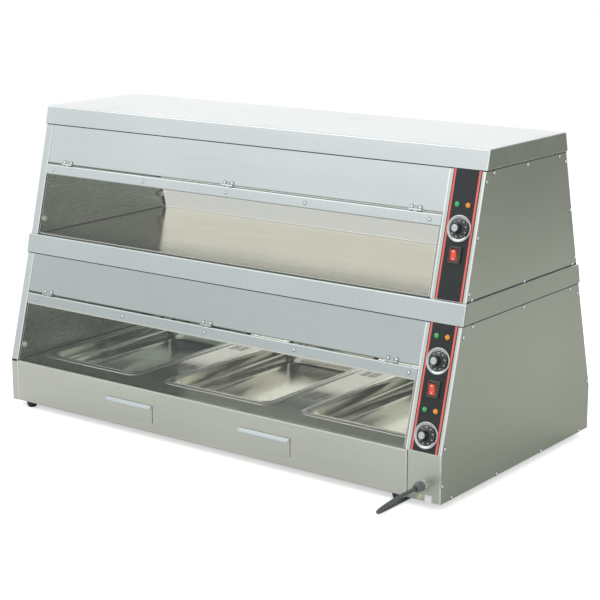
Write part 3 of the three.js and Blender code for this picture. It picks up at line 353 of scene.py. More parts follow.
def moulded(name, colour, roughness, bump=0.00004, scale=900, wear=0.05, coat=0.0, edge=None):
    """Moulded plastic or rubber: a fine pebbled skin, dusty patches and a slightly paler wear."""
    g = new_graph(name)
    pebble = g.noise(g.place(), scale, 2, 0.6)
    patches = g.noise(g.place(), 34, 4, 0.6)
    lighter = tuple(min(1, c * (1 + 2 * wear) + wear * 0.12) for c in colour)
    mixed = g.blend(g.ranged(patches, 0.35, 0.75, 0, 1), colour, lighter)
    rough = g.plus(g.spread(patches, roughness - 0.04, roughness + 0.06), g.spread(pebble, -0.02, 0.02))
    normal = g.bump(pebble, bump, 0.6, g.rounded(edge) if edge else None)
    return g.set(Base_Color=mixed, Roughness=rough, Normal=normal, Coat_Weight=coat, Coat_Roughness=0.08)


def overlay_film(name, stripes):
    """Printed film: near-black with pale red stripes down its length."""
    g = new_graph(name)
    x = g.axes(g.place())[0]
    soft = 0.15
    striped = 0.0
    for low, high in stripes:
        after_low = g.step(x, (low - soft) * MM, (low + soft) * MM)
        after_high = g.step(x, (high - soft) * MM, (high + soft) * MM)
        striped = g.plus(striped, g.times(after_low, g.without(after_high)))
    patches = g.noise(g.place(), 30, 4, 0.6)
    pebble = g.noise(g.place(), 1400, 2)
    cloudy = g.spread(patches, 0, 1)
    black = g.blend(cloudy, (0.011, 0.014, 0.015), (0.017, 0.021, 0.023))
    red = g.blend(cloudy, (0.90, 0.155, 0.130), (0.93, 0.185, 0.155))
    normal = g.bump(pebble, 0.00003, 0.4, g.rounded(0.0004))
    return g.set(Base_Color=g.blend(striped, black, red), Roughness=g.spread(patches, 0.30, 0.40), Normal=normal)


def clear_glass(name):
    """Clear panel glass. Light for the shadows passes straight through it."""
    g = new_graph(name)
    smears = g.noise(g.stretched((1, 2.2, 0.7)), 9, 5, 0.6)
    rough = g.ranged(smears, 0.45, 0.8, 0.0, 0.035)
    g.set(Base_Color=(0.78, 0.785, 0.755), Roughness=rough, IOR=1.46, Transmission_Weight=1.0)
    light = g.node("ShaderNodeLightPath").outputs
    soft = g.sums("MAXIMUM", light["Is Shadow Ray"], light["Is Diffuse Ray"])
    return g.partly(soft, g.node("ShaderNodeBsdfTransparent", Color=(0.94, 0.965, 0.955)))


def lens(name, colour, deep):
    """A moulded lamp lens with a faintly rough skin, its colour painted deeper where its surface turns from the
    view: painted shade.
    """
    g = new_graph(name)
    # The deeper colour towards the lens's outline as seen is painted shade
    rim = g.node("ShaderNodeLayerWeight", Blend=0.35).outputs["Facing"]
    speckle = g.noise(g.place(), 700, 3)
    g.set(Base_Color=g.blend(rim, colour, deep), Roughness=g.spread(speckle, 0.08, 0.16))
    g.set(Normal=g.bump(speckle, 0.0001, 0.4), Emission_Color=colour, Emission_Strength=0.14)
    return g.set(Coat_Weight=0.6, Coat_Roughness=0.04, Subsurface_Weight=0.25, Subsurface_Scale=0.002)


def spun(name, colour, ring_rate):
    """Turned aluminium, its rings following UVs laid out around each piece's own middle."""
    g = new_graph(name)
    uv = g.axes(g.coordinates.outputs["UV"])
    radius = g.sums("SQRT", g.plus(g.times(uv[0], uv[0]), g.times(uv[1], uv[1])))
    rings = g.sums("SINE", g.times(radius, ring_rate))
    speckle = g.noise(g.place(), 900, 3)
    bright = g.plus(g.ranged(rings, -1, 1, -0.10, 0.06), g.spread(speckle, 0.96, 1.03))
    return g.bare_metal(colour, bright, g.spread(speckle, 0.22, 0.34), g.bump(rings, 0.00012, 0.8))


CASING = steel("casing_steel", (0.655, 0.695, 0.70), 0.27)
# The walls' faces into the cavity are painted darker and greener: painted shade
WALL = steel("wall_steel", (0.64, 0.68, 0.685), 0.27, 0.06, 0.004, 0.000001, inner=(0.405, 0.45, 0.405))
# The rims' right-hand ends and tops are painted darker: painted shade
RIM = steel("rim_steel", (0.675, 0.71, 0.715), 0.27, end=(0.41, 0.44, 0.385), top=(0.485, 0.51, 0.505))
# A darker copy of the casing steel for the lower tier's headers and strips: painted shade
SHADED_LOWER_CASING = steel("lower_casing_shaded_steel", (0.52, 0.56, 0.56), 0.27)
COLUMN = steel("column_steel", (0.655, 0.69, 0.65), 0.33)
# The end panels take a darker copy of the steel: painted shade
SHADED_END = steel("end_panel_shaded_steel", (0.435, 0.458, 0.408), 0.30, 0.05)
BASE = steel("base_steel", (0.70, 0.715, 0.675), 0.28)
# The drawers' pull lips are paler and bluer: a painted reflection of the sky
DRAWER = steel("drawer_steel", (0.70, 0.715, 0.675), 0.28, lip=(0.61, 0.67, 0.715))
DECK = steel("deck_steel", (0.60, 0.605, 0.545), 0.11)
# A paler copy of the deck's steel for the pans' pressed frames and the slot lips: painted highlight
HIGHLIGHT_SURROUND = steel("surround_highlight_steel", (0.95, 0.955, 0.92), 0.34)
# The shelf floor's warm beige colour is a painted reflection of the room
SHELF = shelf_steel("shelf_steel", (0.63, 0.672, 0.675), (0.59, 0.555, 0.465), 0.27, 0.16)
# The three pans are of one steel: the left one is painted darker and greener, painted shade, and the middle and
# right ones paler and warmer, painted light
PANS = (
    ("left_pan", scratched("left_pan_steel", (0.58, 0.63, 0.57), (0.66, 0.71, 0.65))),
    ("middle_pan", scratched("middle_pan_steel", (0.84, 0.83, 0.755), (0.99, 0.965, 0.87))),
    ("right_pan", scratched("right_pan_steel", (0.86, 0.85, 0.77), (0.99, 0.965, 0.87))),
)
# A pale steel for thin strips on folds and edges: painted highlight
HIGHLIGHT_HEM = metal("highlight_hem_steel", (0.92, 0.92, 0.905), 0.22)
LEAF = metal("hinge_leaf_steel", (0.50, 0.51, 0.50), 0.24)
ARRIS = metal("glass_arris", (0.66, 0.665, 0.61), 0.22)
CHROME = metal("bezel_chrome", (0.60, 0.63, 0.64), 0.06)
ZINC = metal("screw_zinc", (0.95, 0.97, 0.985), 0.16)
# A near-black metal for the rings under screw heads and the plates under the steam slots: painted shadow and shade
SHADE_DARK = metal("painted_shade_dark", (0.10, 0.105, 0.10), 0.40)
BRASS = metal("stud_brass", (0.82, 0.75, 0.60), 0.24)
NICKEL = metal("pin_nickel", (0.74, 0.73, 0.70), 0.16)
ELEMENT = metal("element_sheath", (0.16, 0.155, 0.145), 0.45, 120, 0.15)
CAP = spun("knob_cap", (0.62, 0.645, 0.655), 4200)
# A near-black strip laid under rims, along joints and in creases: painted shade
SHADE_STRIP = moulded("painted_shade_strip", (0.045, 0.052, 0.052), 0.55, scale=800, wear=0.04)
# A black strip for the gap at a panel's left-hand end: painted shade
BLACK_GAP_SHADE = moulded("painted_black_gap_shade", (0.028, 0.030, 0.026), 0.50, scale=800)
# A grey strip for the gaps at a panel's right-hand end, by the upper strips and at the sills: painted shade
GREY_SHADE = moulded("painted_grey_shade", (0.29, 0.30, 0.265), 0.50, scale=800)
KNOB = moulded("knob_black", (0.012, 0.013, 0.015), 0.20, 0.00003, 1200, 0.02, 0.5)
SWITCH = moulded("switch_frame", (0.115, 0.118, 0.092), 0.34, coat=0.15, edge=0.0006)
ROCKER = moulded("rocker_red", (0.34, 0.013, 0.010), 0.16, 0.00001, wear=0.03, coat=0.5)
WINDOW = moulded("rocker_window", (0.93, 0.105, 0.050), 0.12, 0.00001, wear=0.02, coat=0.6)
WHITE = moulded("white_print", (0.92, 0.93, 0.92), 0.45, 0.00001, wear=0.02)
LABEL = moulded("blank_sticker", (0.99, 0.99, 0.985), 0.40, 0.00001, 500, 0.02)
FIGURE = moulded("figure_paint", (0.66, 0.67, 0.66), 0.40, 0.00002, wear=0.04)
CREAM = moulded("bumper_rubber", (0.99, 0.95, 0.84), 0.50, 0.00006, 700)
RUBBER = moulded("foot_rubber", (0.026, 0.030, 0.029), 0.52, 0.00008, 600, 0.06)
FLEX = moulded("cord_rubber", (0.085, 0.098, 0.098), 0.34, 0.00003)
PLUG = moulded("plug_rubber", (0.028, 0.030, 0.030), 0.48, 0.00008, 700)
TERMINAL = moulded("terminal_bakelite", (0.62, 0.57, 0.45), 0.40, 0.00003, 700, 0.04)
GLAND = moulded("gland_nut", (0.12, 0.135, 0.135), 0.20, 0.00002, wear=0.03, coat=0.6)
GLAND_HEX = moulded("gland_hex", (0.50, 0.515, 0.46), 0.30, 0.00003, wear=0.04, coat=0.2)
GREEN = lens("lens_green", (0.055, 0.46, 0.16), (0.02, 0.28, 0.09))
AMBER = lens("lens_amber", (0.86, 0.35, 0.03), (0.60, 0.18, 0.01))
OVERLAY = overlay_film("overlay_film", ((595.7, 600.5), (659.3, 664.5)))
GLASS = clear_glass("flap_glass")

# The finishes of the solids by the endings of their names. All others are plain casing, save the lower tier's
# headers and strips, which take a darker copy of it: painted shade
FINISHES = {
    "deck": DECK, "shelf": SHELF, "top_cap": RIM, "_left_wall": WALL, "_column": COLUMN, "_side": SHADED_END,
    "base": BASE, "_drawer": DRAWER, "_overlay": OVERLAY, "_glass": GLASS, "_element": ELEMENT,
    "_switch": SWITCH, "terminal_block": TERMINAL,
}
for name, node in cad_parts.items():
    lower_sheet = name.startswith("lower_") and name.endswith(("_header", "_strip"))
    fits = [finish for ending, finish in FINISHES.items() if name.endswith(ending)]
    node.data.materials.clear()
    node.data.materials.append(SHADED_LOWER_CASING if lower_sheet else fits[0] if fits else CASING)

# ---- mesh helpers

IDENTITY = Matrix.Identity(4)


def mesh_of(name, bm, matrix):
    bm.transform(matrix)
    bmesh.ops.recalc_face_normals(bm, faces=bm.faces)
    mesh = bpy.data.meshes.new(name)
    bm.to_mesh(mesh)
    bm.free()
    return mesh


def piece(name, bm, matrix, material, body, replaced=(), crease=35):
    """Puts a mesh in the scene, riding on one body. Only edges sharper than crease, in degrees, stay sharp."""
    mesh = mesh_of(name, bm, matrix)
    for polygon in mesh.polygons:
        polygon.use_smooth = True
    mesh.set_sharp_from_angle(angle=math.radians(crease))
    mesh.materials.append(material)
    made = bpy.data.objects.new(name, mesh)
    bpy.context.scene.collection.objects.link(made)
    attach(made, body)
    if replaced:
        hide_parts(*replaced)
    return made


def bevelled(made, width, segments=2, angle=30):
    """Rounds the edges that are sharper than an angle, in degrees, by a width in millimetres."""
    modifier = made.modifiers.new("rounding", "BEVEL")
    modifier.width = width * MM
    modifier.segments = segments
    modifier.limit_method = "ANGLE"
    modifier.angle_limit = math.radians(angle)
    modifier.harden_normals = True


def arc(centre, radius, start, end, steps):
    """Points along an arc between two angles in degrees."""
    angles = [math.radians(start + (end - start) * i / steps) for i in range(steps + 1)]
    return [(centre[0] + radius * math.cos(a), centre[1] + radius * math.sin(a)) for a in angles]


def circle(radius, segments):
    angles = [2 * math.pi * i / segments for i in range(segments)]
    return [(radius * math.cos(a), radius * math.sin(a)) for a in angles]


def hexagon(flats):
    """The outline of a nut, by the distance between its flats."""
    return circle(flats / math.sqrt(3), 6)


def rounded_rectangle(half_x, half_y, radius, steps):
    points = []
    for corner, (sx, sy) in enumerate(((1, 1), (-1, 1), (-1, -1), (1, -1))):
        centre = (sx * (half_x - radius), sy * (half_y - radius))
        points += arc(centre, radius, 90 * corner, 90 * corner + 90, steps)
    return points


def looped(ring):
    """Each member of a ring with the one after it."""
    return zip(ring, ring[1:] + ring[:1])


def add_ring(bm, outline, z, matrix=IDENTITY):
    return [bm.verts.new(matrix @ Vector((x, y, z))) for x, y in outline]


def bridge(bm, low, high):
    """Faces between two rings of vertices. A ring of one vertex is a point, and two points have no faces."""
    if len(low) > 1 and len(high) > 1:
        for (a, b), (d, c) in zip(looped(low), looped(high)):
            bm.faces.new((a, b, c, d))
    elif len(high) > 1:
        for d, c in looped(high):
            bm.faces.new((low[0], c, d))
    elif len(low) > 1:
        for a, b in looped(low):
            bm.faces.new((a, b, high[0]))


def add_skin(bm, sections, matrix=IDENTITY, closed=False):
    """A skin through outlines, each given with its height. A closed one joins the last to the first."""
    rings = [add_ring(bm, outline, z, matrix) for outline, z in sections]
    for low, high in looped(rings) if closed else zip(rings, rings[1:]):
        bridge(bm, low, high)
    return rings


def add_lathe(bm, profile, segments, matrix=IDENTITY):
    """Turns a profile of (radius, height) about Z. A radius of zero closes it with one vertex."""
    sections = [(circle(radius, segments) if radius else [(0, 0)], z) for radius, z in profile]
    return add_skin(bm, sections, matrix)


def lathe(name, profile, matrix, material, body, replaced=(), segments=48, crease=35):
    bm = bmesh.new()
    add_lathe(bm, profile, segments)
    return piece(name, bm, matrix, material, body, replaced, crease)


def rounded_sections(rings, steps, base=0.0):
    """Sections for a skin, from rings of half width, half length, corner radius and height."""
    return [(rounded_rectangle(x, y, radius, steps), base + z) for x, y, radius, z in rings]


def add_prism(bm, outline, low, high, matrix=IDENTITY):
    """A prism along Z through a closed outline in XY."""
    bottom, top = add_ring(bm, outline, low, matrix), add_ring(bm, outline, high, matrix)
    bm.faces.new(bottom[::-1])
    bm.faces.new(top)
    bridge(bm, bottom, top)


def slab(bm, slope, x0, x1, s0, s1, t0, t1, rear=False):
    """A flat bar lying on a sloped face: X, then down the face, then out of it."""
    half_x, half_s = (x1 - x0) / 2, (s1 - s0) / 2
    outline = [(-half_x, -half_s), (half_x, -half_s), (half_x, half_s), (-half_x, half_s)]
    add_prism(bm, outline, t0, t1, slope.place((x0 + x1) / 2, (s0 + s1) / 2, 0, rear))


def add_box(bm, low, high):
    """A box between two corners, in millimetres from the middle of the case."""
    (x0, y0, z0), (x1, y1, z1) = low, high
    add_prism(bm, [(x0, y0), (x1, y0), (x1, y1), (x0, y1)], z0, z1, at(0, 0, 0))


def trim(name, material, body, bars=(), boxes=(), bevel=None, segments=2):
    """One piece made of thin bars, as slab() takes them, or of boxes between two corners."""
    bm = bmesh.new()
    for bar in bars:
        slab(bm, *bar)
    for low, high in boxes:
        add_box(bm, low, high)
    made = piece(name, bm, IDENTITY, material, body, crease=30)
    if bevel:
        bevelled(made, bevel, segments)


# ---- cord and plug

CORD_DIAMETER = 9
# The middle of the cord where it lies on the ground
LYING_Z = 4.8
HANGING = [
    (630, -372, 55), (630, -377.6, 55), (630, -389, 55), (629.8, -401, 54.8), (629.1, -413, 54.3),
    (627.7, -425, 53.2), (625.6, -438.9, 51.2), (619.6, -450.8, 46.1), (610.7, -458.7, 38.4),
    (600.2, -461.4, 29.2), (589.7, -458.7, 20), (580.9, -450.8, 12.2), (574.9, -438.9, 7.1), (572.8, -425, 5.1),
]
LYING = [
    (572.8, -400), (572.8, -365), (572.8, -330), (572.4, -290), (569.5, -220), (563, -120), (552.5, 0),
    (538, 110), (518.3, 210), (499, 290), (487, 345), (481.6, 380), (480.2, 398), (480, 410.7),
]
COIL_TURNS = 3.25
COIL_STEPS = 24
COIL_PITCH = 9.7
COIL_LAYER = 9.6
COIL_OUTER = 50 + COIL_PITCH * COIL_TURNS / 4
COIL_CENTRE = (LYING[-1][0] - COIL_OUTER, 420)


def coil_points():
    """A coil that winds inwards on the ground, climbs, and winds outwards again on top."""
    points = []
    back = COIL_TURNS / 2
    for i in range(round(COIL_TURNS * COIL_STEPS) + 1):
        turn = i / COIL_STEPS
        radius = COIL_OUTER - COIL_PITCH * (back - abs(turn - back))
        rise = min(max((turn - back + 0.25) / 0.5, 0), 1)
        angle = turn * 2 * math.pi
        x, y = COIL_CENTRE[0] + radius * math.cos(angle), COIL_CENTRE[1] + radius * math.sin(angle)
        points.append((x, y, LYING_Z + COIL_LAYER * rise * rise * (3 - 2 * rise)))
    return points


def smooth_spline(curve, points):
    """One open spline through the points, with the handles of a centripetal curve."""
    spline = curve.splines.new("BEZIER")
    spline.bezier_points.add(len(points) - 1)
    ends = [2 * points[0] - points[1], *points, 2 * points[-1] - points[-2]]
    for point, before, here, after in zip(spline.bezier_points, ends, points, ends[2:]):
        a = (here - before).length ** 0.5
        b = (after - here).length ** 0.5
        speed = (here - before) / a - (after - before) / (a + b) + (after - here) / b
        point.co = here
        point.handle_left_type = point.handle_right_type = "FREE"
        point.handle_left = here - speed * a / 3
        point.handle_right = here + speed * b / 3
    spline.resolution_u = 6
    return spline


coil = coil_points()
coil_x, coil_y, coil_z = coil[-1]
cord_end = (coil_x - CORD_DIAMETER, coil_y, coil_z)
cord_line = [metres(*p) for p in HANGING + [(x, y, LYING_Z) for x, y in LYING] + coil + [cord_end]]
curve = bpy.data.curves.new("mains_cord", "CURVE")
curve.dimensions = "3D"
curve.bevel_depth = CORD_DIAMETER / 2 * MM
curve.bevel_resolution = 5
curve.use_fill_caps = True
spline = smooth_spline(curve, cord_line)
curve.materials.append(FLEX)
cord = bpy.data.objects.new("mains_cord", curve)
bpy.context.scene.collection.objects.link(cord)

# The plug leans on the ground where its body is widest, this far from its cord
PLUG_RADIUS, PLUG_LENGTH, PLUG_GAP = 18, 55.5, 0.3
plug_start = Vector((cord_end[0] - PLUG_GAP, cord_end[1], cord_end[2]))
plug_rise = PLUG_RADIUS + PLUG_GAP - cord_end[2]
plug_axis = Vector((-math.sqrt(PLUG_LENGTH ** 2 - plug_rise ** 2), 0, plug_rise)).normalized()
plug_turn = Vector((0, 0, 1)).rotation_difference(plug_axis).to_matrix().to_4x4()
plug_matrix = Matrix.Translation(metres(*plug_start)) @ plug_turn @ Matrix.Scale(MM, 4)

boot = [(0, 0), (5.4, 0), (6, 0.6)]
for i in range(6):
    base, wide = 4 + 5.6 * i, 6.2 + 0.38 * i
    boot += [(wide, base), (wide, base + 2.6), (wide - 1.1, base + 3.1), (wide - 1.1, base + 5.1)]
boot += [(8.5, 40), (10.2, 43.5), (14.5, 49), (16.6, 54), (PLUG_RADIUS, 56.2), (PLUG_RADIUS, 70.6)]
boot += [(17.4, 71.6), (16.2, 72), (7.5, 72), (7.5, 71.2), (0, 71.2)]
plug = lathe("plug_body", boot, plug_matrix, PLUG, "case", ("mains_plug",))
bm = bmesh.new()
for side in (-1, 1):
    pin = [(0, 69), (2.4, 69), (2.4, 89.4), (2.0, 90.4), (1.1, 91), (0, 91)]
    add_lathe(bm, pin, 24, Matrix.Translation((side * 9.5, 0, 0)))
pins = piece("plug_pins", bm, plug_matrix, NICKEL, "case")
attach(cord, "case")
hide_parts("cord_lead", "cord_coil")

# ---- gland, stud, sticker

# On the base's front, with Z out of it
FRONT_Y = -BASE_DEPTH / 2
gland_matrix = at(630, FRONT_Y - 0.3, 55, QUARTER)
bm = bmesh.new()
add_prism(bm, hexagon(25), 0, 9)
add_prism(bm, hexagon(25), -7.1, -2.1)
add_lathe(bm, [(0, -7.1), (8, -7.1), (8, 0), (10, 0), (10, 14), (0, 14)], 32)
bevelled(piece("gland_body", bm, gland_matrix, GLAND_HEX, "case", ("cord_gland",)), 0.6)
bm = bmesh.new()
dome = [(8, 10.5), (11.6, 10.5), (12.2, 11.2), (12.2, 14.4), (11.7, 15.2), (11.2, 15.4), (11.2, 21)]
dome += arc((8.2, 23.6), 3, 0, 66, 7)
dome += [(8.6, 29), (8.4, 31.4), (7.6, 32), (5.4, 32), (4.9, 31.2), (4.9, 26), (0, 26)]
add_lathe(bm, dome, 40)
for i in range(6):
    turn = Matrix.Rotation(2 * math.pi * i / 6, 4, "Z")
    add_prism(bm, rounded_rectangle(2.6, 0.7, 0.5, 3), 15.4, 22.6, turn @ Matrix.Translation((0, 11.1, 0)))
piece("gland_nut", bm, gland_matrix, GLAND, "case", ())

bm = bmesh.new()
add_lathe(bm, [(0, 0), (5.2, 0), (5.2, 0.8), (0, 0.8)], 24)
add_prism(bm, hexagon(8), 0.8, 4)
thread = [(0, 4), (2.4, 4)]
for i in range(9):
    thread += [(2.4, 4 + 0.8 * i), (2.05, 4.4 + 0.8 * i)]
thread += [(2.4, 11.2), (2.0, 11.8), (0, 11.8)]
add_lathe(bm, thread, 24)
bevelled(piece("earth_stud", bm, at(623, FRONT_Y, 26, QUARTER), BRASS, "case"), 0.25)

bm = bmesh.new()
add_prism(bm, rounded_rectangle(9, 8, 1.2, 5), 0.02, 0.2)
piece("blank_sticker", bm, at(643, FRONT_Y, 25, QUARTER), LABEL, "case")

# ---- feet

FOOT = [
    (0, 1.2), (4.6, 1.2), (5.2, 0.2), (8.2, 0), (9.8, 0.4), (11, 1.6), (12.2, 4.6), (13.5, 9), (13.8, 9.3),
    (13.8, 10.1), (13.6, 10.4), (14.5, 14.6), (14.5, 15.6), (14, 16.4), (13.2, 16.7), (0, 16.7),
]
for row, y in (("front", -325), ("rear", 325)):
    for end, x in (("left", -625), ("right", 550.5)):
        name = f"{row}_{end}_foot"
        lathe(f"{name}_rubber", FOOT, at(x, y, 0), RUBBER, "case", (name,), 40)

# ---- overlays

# The film stops just past its right-hand stripe, and leaves a band of bare column beside it
FILM_RIGHT = 665.7
for tier in ("upper", "lower"):
    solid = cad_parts[f"{tier}_overlay"]
    bm = bmesh.new()
    bm.from_mesh(solid.data)
    bmesh.ops.remove_doubles(bm, verts=bm.verts, dist=0.000001)
    bm.transform(solid.matrix_world)
    plane = {"plane_co": (FILM_RIGHT * MM, 0, 0), "plane_no": (1, 0, 0)}
    cut = bmesh.ops.bisect_plane(bm, geom=bm.verts[:] + bm.edges[:] + bm.faces[:], clear_outer=True, **plane)
    bmesh.ops.edgeloop_fill(bm, edges=[e for e in cut["geom_cut"] if isinstance(e, bmesh.types.BMEdge)])
    film = piece(f"{tier}_overlay_film", bm, IDENTITY, OVERLAY, "case", (f"{tier}_overlay",))
    # A flat film, whose long thin triangles would crease if they were shaded smooth
    for polygon in film.data.polygons:
        polygon.use_smooth = False

# ---- dials

DIALS = (("upper", UPPER, 133), ("air", LOWER, 84), ("bath", LOWER, 250))
FIGURES = ("0", "30", "45", "60", "75", "90", "100", "110")
FIRST_FIGURE, FIGURE_STEP = 130, 38
# The skirt's rim, and the cone that rises from it to the grip
SKIRT_RADIUS, SKIRT_HEIGHT, SKIRT_TILT = 23, 1.4, math.atan2(2.2, 9)
KNOB_BORE = 2.8
BEZEL_FLOOR = 0.8
BEHIND_OVERLAY = [(0, -29.8), (15.5, -29.8), (17, -28.6), (17, -3.2), (16.4, -1.8), (3.7, -1.8)]
BEFORE_OVERLAY = [
    (3.7, 0), (30.2, 0), (30.7, 0.3), *arc((29, 1.7), 1.7, 0, 84, 8), (28, 3.4), (27.3, 3.1), (26.8, 2.5),
    (26.2, 2.2), (24.8, 2.15), (24.2, 1.9), (24, 1.2), (23.8, BEZEL_FLOOR), (2.8, BEZEL_FLOOR), (2.8, 13.4),
    (2.4, 13.8), (0, 13.8),
]
BEZEL = BEHIND_OVERLAY + [(radius, CONTROLS_T + z) for radius, z in BEFORE_OVERLAY]
# Radius, height and how far the nine flutes cut in
KNOB_RINGS = [
    (KNOB_BORE, 0, 0), (22.6, 0, 0), (23, 0.35, 0), (23, 1.1, 0), (22.7, 1.45, 0), (18.8, 2.42, 0), (15.2, 3.3, 0),
    (13.2, 3.9, 0.1), (11.9, 4.6, 0.45), (11.3, 5.6, 0.9), (11.0, 7.4, 1), (10.5, 11.5, 1), (9.95, 16.5, 1),
    (9.7, 18.2, 0.9), (9.45, 19.1, 0.6), (9.1, 19.7, 0.25), (8.5, 20, 0), (8.5, 19.5, 0), (8.4, 19.35, 0),
]
CAP_RINGS = [
    (8.1, 19.4), (8.1, 20.0), (7.7, 20.0), (7.3, 19.8), (6.2, 19.85), (5.9, 19.6), (3.6, 19.55), (3.2, 19.85),
    (1.2, 19.88), (0.8, 19.6),
]


def figure_mesh(figure):
    """One of the skirt's figures, lying flat."""
    text = bpy.data.curves.new("figure", "FONT")
    text.body = figure
    text.size = 5.3
    text.align_x = "CENTER"
    text.align_y = "CENTER"
    text.extrude = 0.06
    text.offset = 0.03
    text.space_character = 0.8
    text.resolution_u = 3
    source = bpy.data.objects.new("figure", text)
    bpy.context.scene.collection.objects.link(source)
    flat = bpy.data.meshes.new_from_object(source.evaluated_get(bpy.context.evaluated_depsgraph_get()))
    bpy.data.objects.remove(source)
    bpy.data.curves.remove(text)
    return flat


def on_skirt(degrees, radius, lift):
    """A frame lying on the skirt's cone, with X outwards."""
    height = SKIRT_HEIGHT + (SKIRT_RADIUS - radius) * math.tan(SKIRT_TILT) + lift
    turned = Matrix.Rotation(math.radians(degrees), 4, "Z")
    return turned @ Matrix.Translation((radius, 0, height)) @ Matrix.Rotation(SKIRT_TILT, 4, "Y")


def numerals(name, matrix, body):
    """Pale figures round the skirt, with a short bar between each two."""
    bm = bmesh.new()
    for i, figure in enumerate(FIGURES):
        degrees = FIRST_FIGURE - FIGURE_STEP * i
        flat = figure_mesh(figure)
        flat.transform(on_skirt(degrees, 18.4, 0.12) @ Matrix.Rotation(-QUARTER, 4, "Z"))
        bm.from_mesh(flat)
        bpy.data.meshes.remove(flat)
        if figure != FIGURES[-1]:
            between = on_skirt(degrees - FIGURE_STEP / 2, 21.3, 0.1)
            add_prism(bm, rounded_rectangle(0.9, 0.3, 0.15, 2), -0.05, 0.06, between)
    piece(name, bm, matrix, FIGURE, body, crease=20)


def fluted(radius, depth, segments):
    """A round outline with nine flutes cut into it."""
    points = []
    for i in range(segments):
        angle = 2 * math.pi * i / segments
        r = radius - 1.35 * depth * max(0, math.cos(9 * angle)) ** 1.6
        points.append((r * math.cos(angle), r * math.sin(angle)))
    return points


def fluted_knob(name, matrix, body):
    """Skirt and fluted grip in one, with a blind bore from below."""
    segments = 144
    bm = bmesh.new()
    rings = add_skin(bm, [(fluted(radius, depth, segments), z) for radius, z, depth in KNOB_RINGS])
    bm.faces.new(rings[-1])
    bore = add_ring(bm, circle(KNOB_BORE, segments), 12.9)
    bridge(bm, bore, rings[0])
    bm.faces.new(bore[::-1])
    piece(name, bm, matrix, KNOB, body, (body,), 50)


def knob_cap(name, matrix, body):
    """The silver end, with shallow rings turned into it."""
    bm = bmesh.new()
    rings = add_lathe(bm, CAP_RINGS, 96)
    bm.faces.new(rings[-1])
    bm.faces.new(rings[0][::-1])
    layer = bm.loops.layers.uv.new("around")
    for face in bm.faces:
        for loop in face.loops:
            loop[layer].uv = (loop.vert.co.x * MM, loop.vert.co.y * MM)
    piece(name, bm, matrix, CAP, body, crease=30)


for name, slope, s in DIALS:
    rest = slope.place(OVERLAY_X, s, 0)
    lathe(f"{name}_bezel", BEZEL, rest, CHROME, "case", (f"{name}_thermostat",), 96, 40)
    seat = slope.place(OVERLAY_X, s, CONTROLS_T + BEZEL_FLOOR + 0.3)
    body = f"{name}_knob"
    fluted_knob(f"{name}_dial", seat, body)
    knob_cap(f"{name}_dial_cap", seat, body)
    numerals(f"{name}_dial_figures", seat, body)

# ---- lamps

LAMPS = (("upper", UPPER, 80), ("air", LOWER, 29), ("bath", LOWER, 194))
# From the middle of a pair to each of its lamps
LAMP_ASIDE = 14
LENS_SHOULDER = 2.4
for name, slope, s in LAMPS:
    low = CONTROLS_T - 16
    bm = bmesh.new()
    add_prism(bm, rounded_rectangle(20, 6, 1.5, 4), low, low + 4)
    for side in (-1, 1):
        barrel = [(0, low + 3), (4.2, low + 3), (4.2, CONTROLS_T), (0, CONTROLS_T)]
        add_lathe(bm, barrel, 32, Matrix.Translation((side * LAMP_ASIDE, 0, 0)))
    rest = slope.place(OVERLAY_X, s, 0)
    piece(f"{name}_lamp_holder", bm, rest, SWITCH, "case", (f"{name}_lamps",))
    for side, colour, finish, height in ((-1, "green", GREEN, 6.1), (1, "amber", AMBER, 6.5)):
        profile = [(0, -0.6), (4.1, -0.6), (4.1, 0), (5.7, 0), (6, 0.3), (6, 1.9), (5.7, 2.3), (5.1, LENS_SHOULDER)]
        for a in range(1, 9):
            slant = a * math.pi / 18
            profile.append((5.1 * math.cos(slant), LENS_SHOULDER + (height - LENS_SHOULDER) * math.sin(slant)))
        profile = [(radius, CONTROLS_T + z) for radius, z in profile + [(0, height)]]
        place = slope.place(OVERLAY_X + side * LAMP_ASIDE, s, 0)
        lathe(f"{name}_{colour}_lens", profile, place, finish, "case", (), 40, 30)

# ---- rockers

SWITCHES = (("upper", UPPER, 192), ("lower", LOWER, 147))
# A rocker is built about its pivot, with Z out of the panel and Y up it, and rests with its upper end out
ROCKER_HALF = 13.5
ROCKER_HOLLOW = 1.8
ROCKER_REST = math.radians(10)
WINDOW_HALF = 10.9
# Takes an outline in XY, drawn along Z, to one up the panel and out of it, drawn across it
ACROSS = Matrix(((0, 0, 1, 0), (1, 0, 0, 0), (0, 1, 0, 0), (0, 0, 0, 1)))
# Half width, half length, corner radius and height of the rings of a switch's surround
SWITCH_RINGS = [
    (13.4, 17.9, 2.2, 0.02), (13.4, 17.9, 2.2, 2.2), (12.5, 17.0, 1.4, 3.0), (12.2, 16.7, 1.4, 8.2),
    (11.8, 16.3, 1.4, 8.7), (11.4, 15.9, 1.4, 8.4), (11.4, 15.9, 1.4, 2.2),
]


def hollow(y):
    """The height of a rocker's curved top."""
    return 3.2 + ROCKER_HOLLOW * (y / ROCKER_HALF) ** 2


def on_window(y):
    """A frame lying on the window over the rocker's top."""
    slant = math.atan2(2 * ROCKER_HOLLOW * y / ROCKER_HALF ** 2, 1)
    return Matrix.Translation((0, y, hollow(y) + 0.55)) @ Matrix.Rotation(slant, 4, "X")


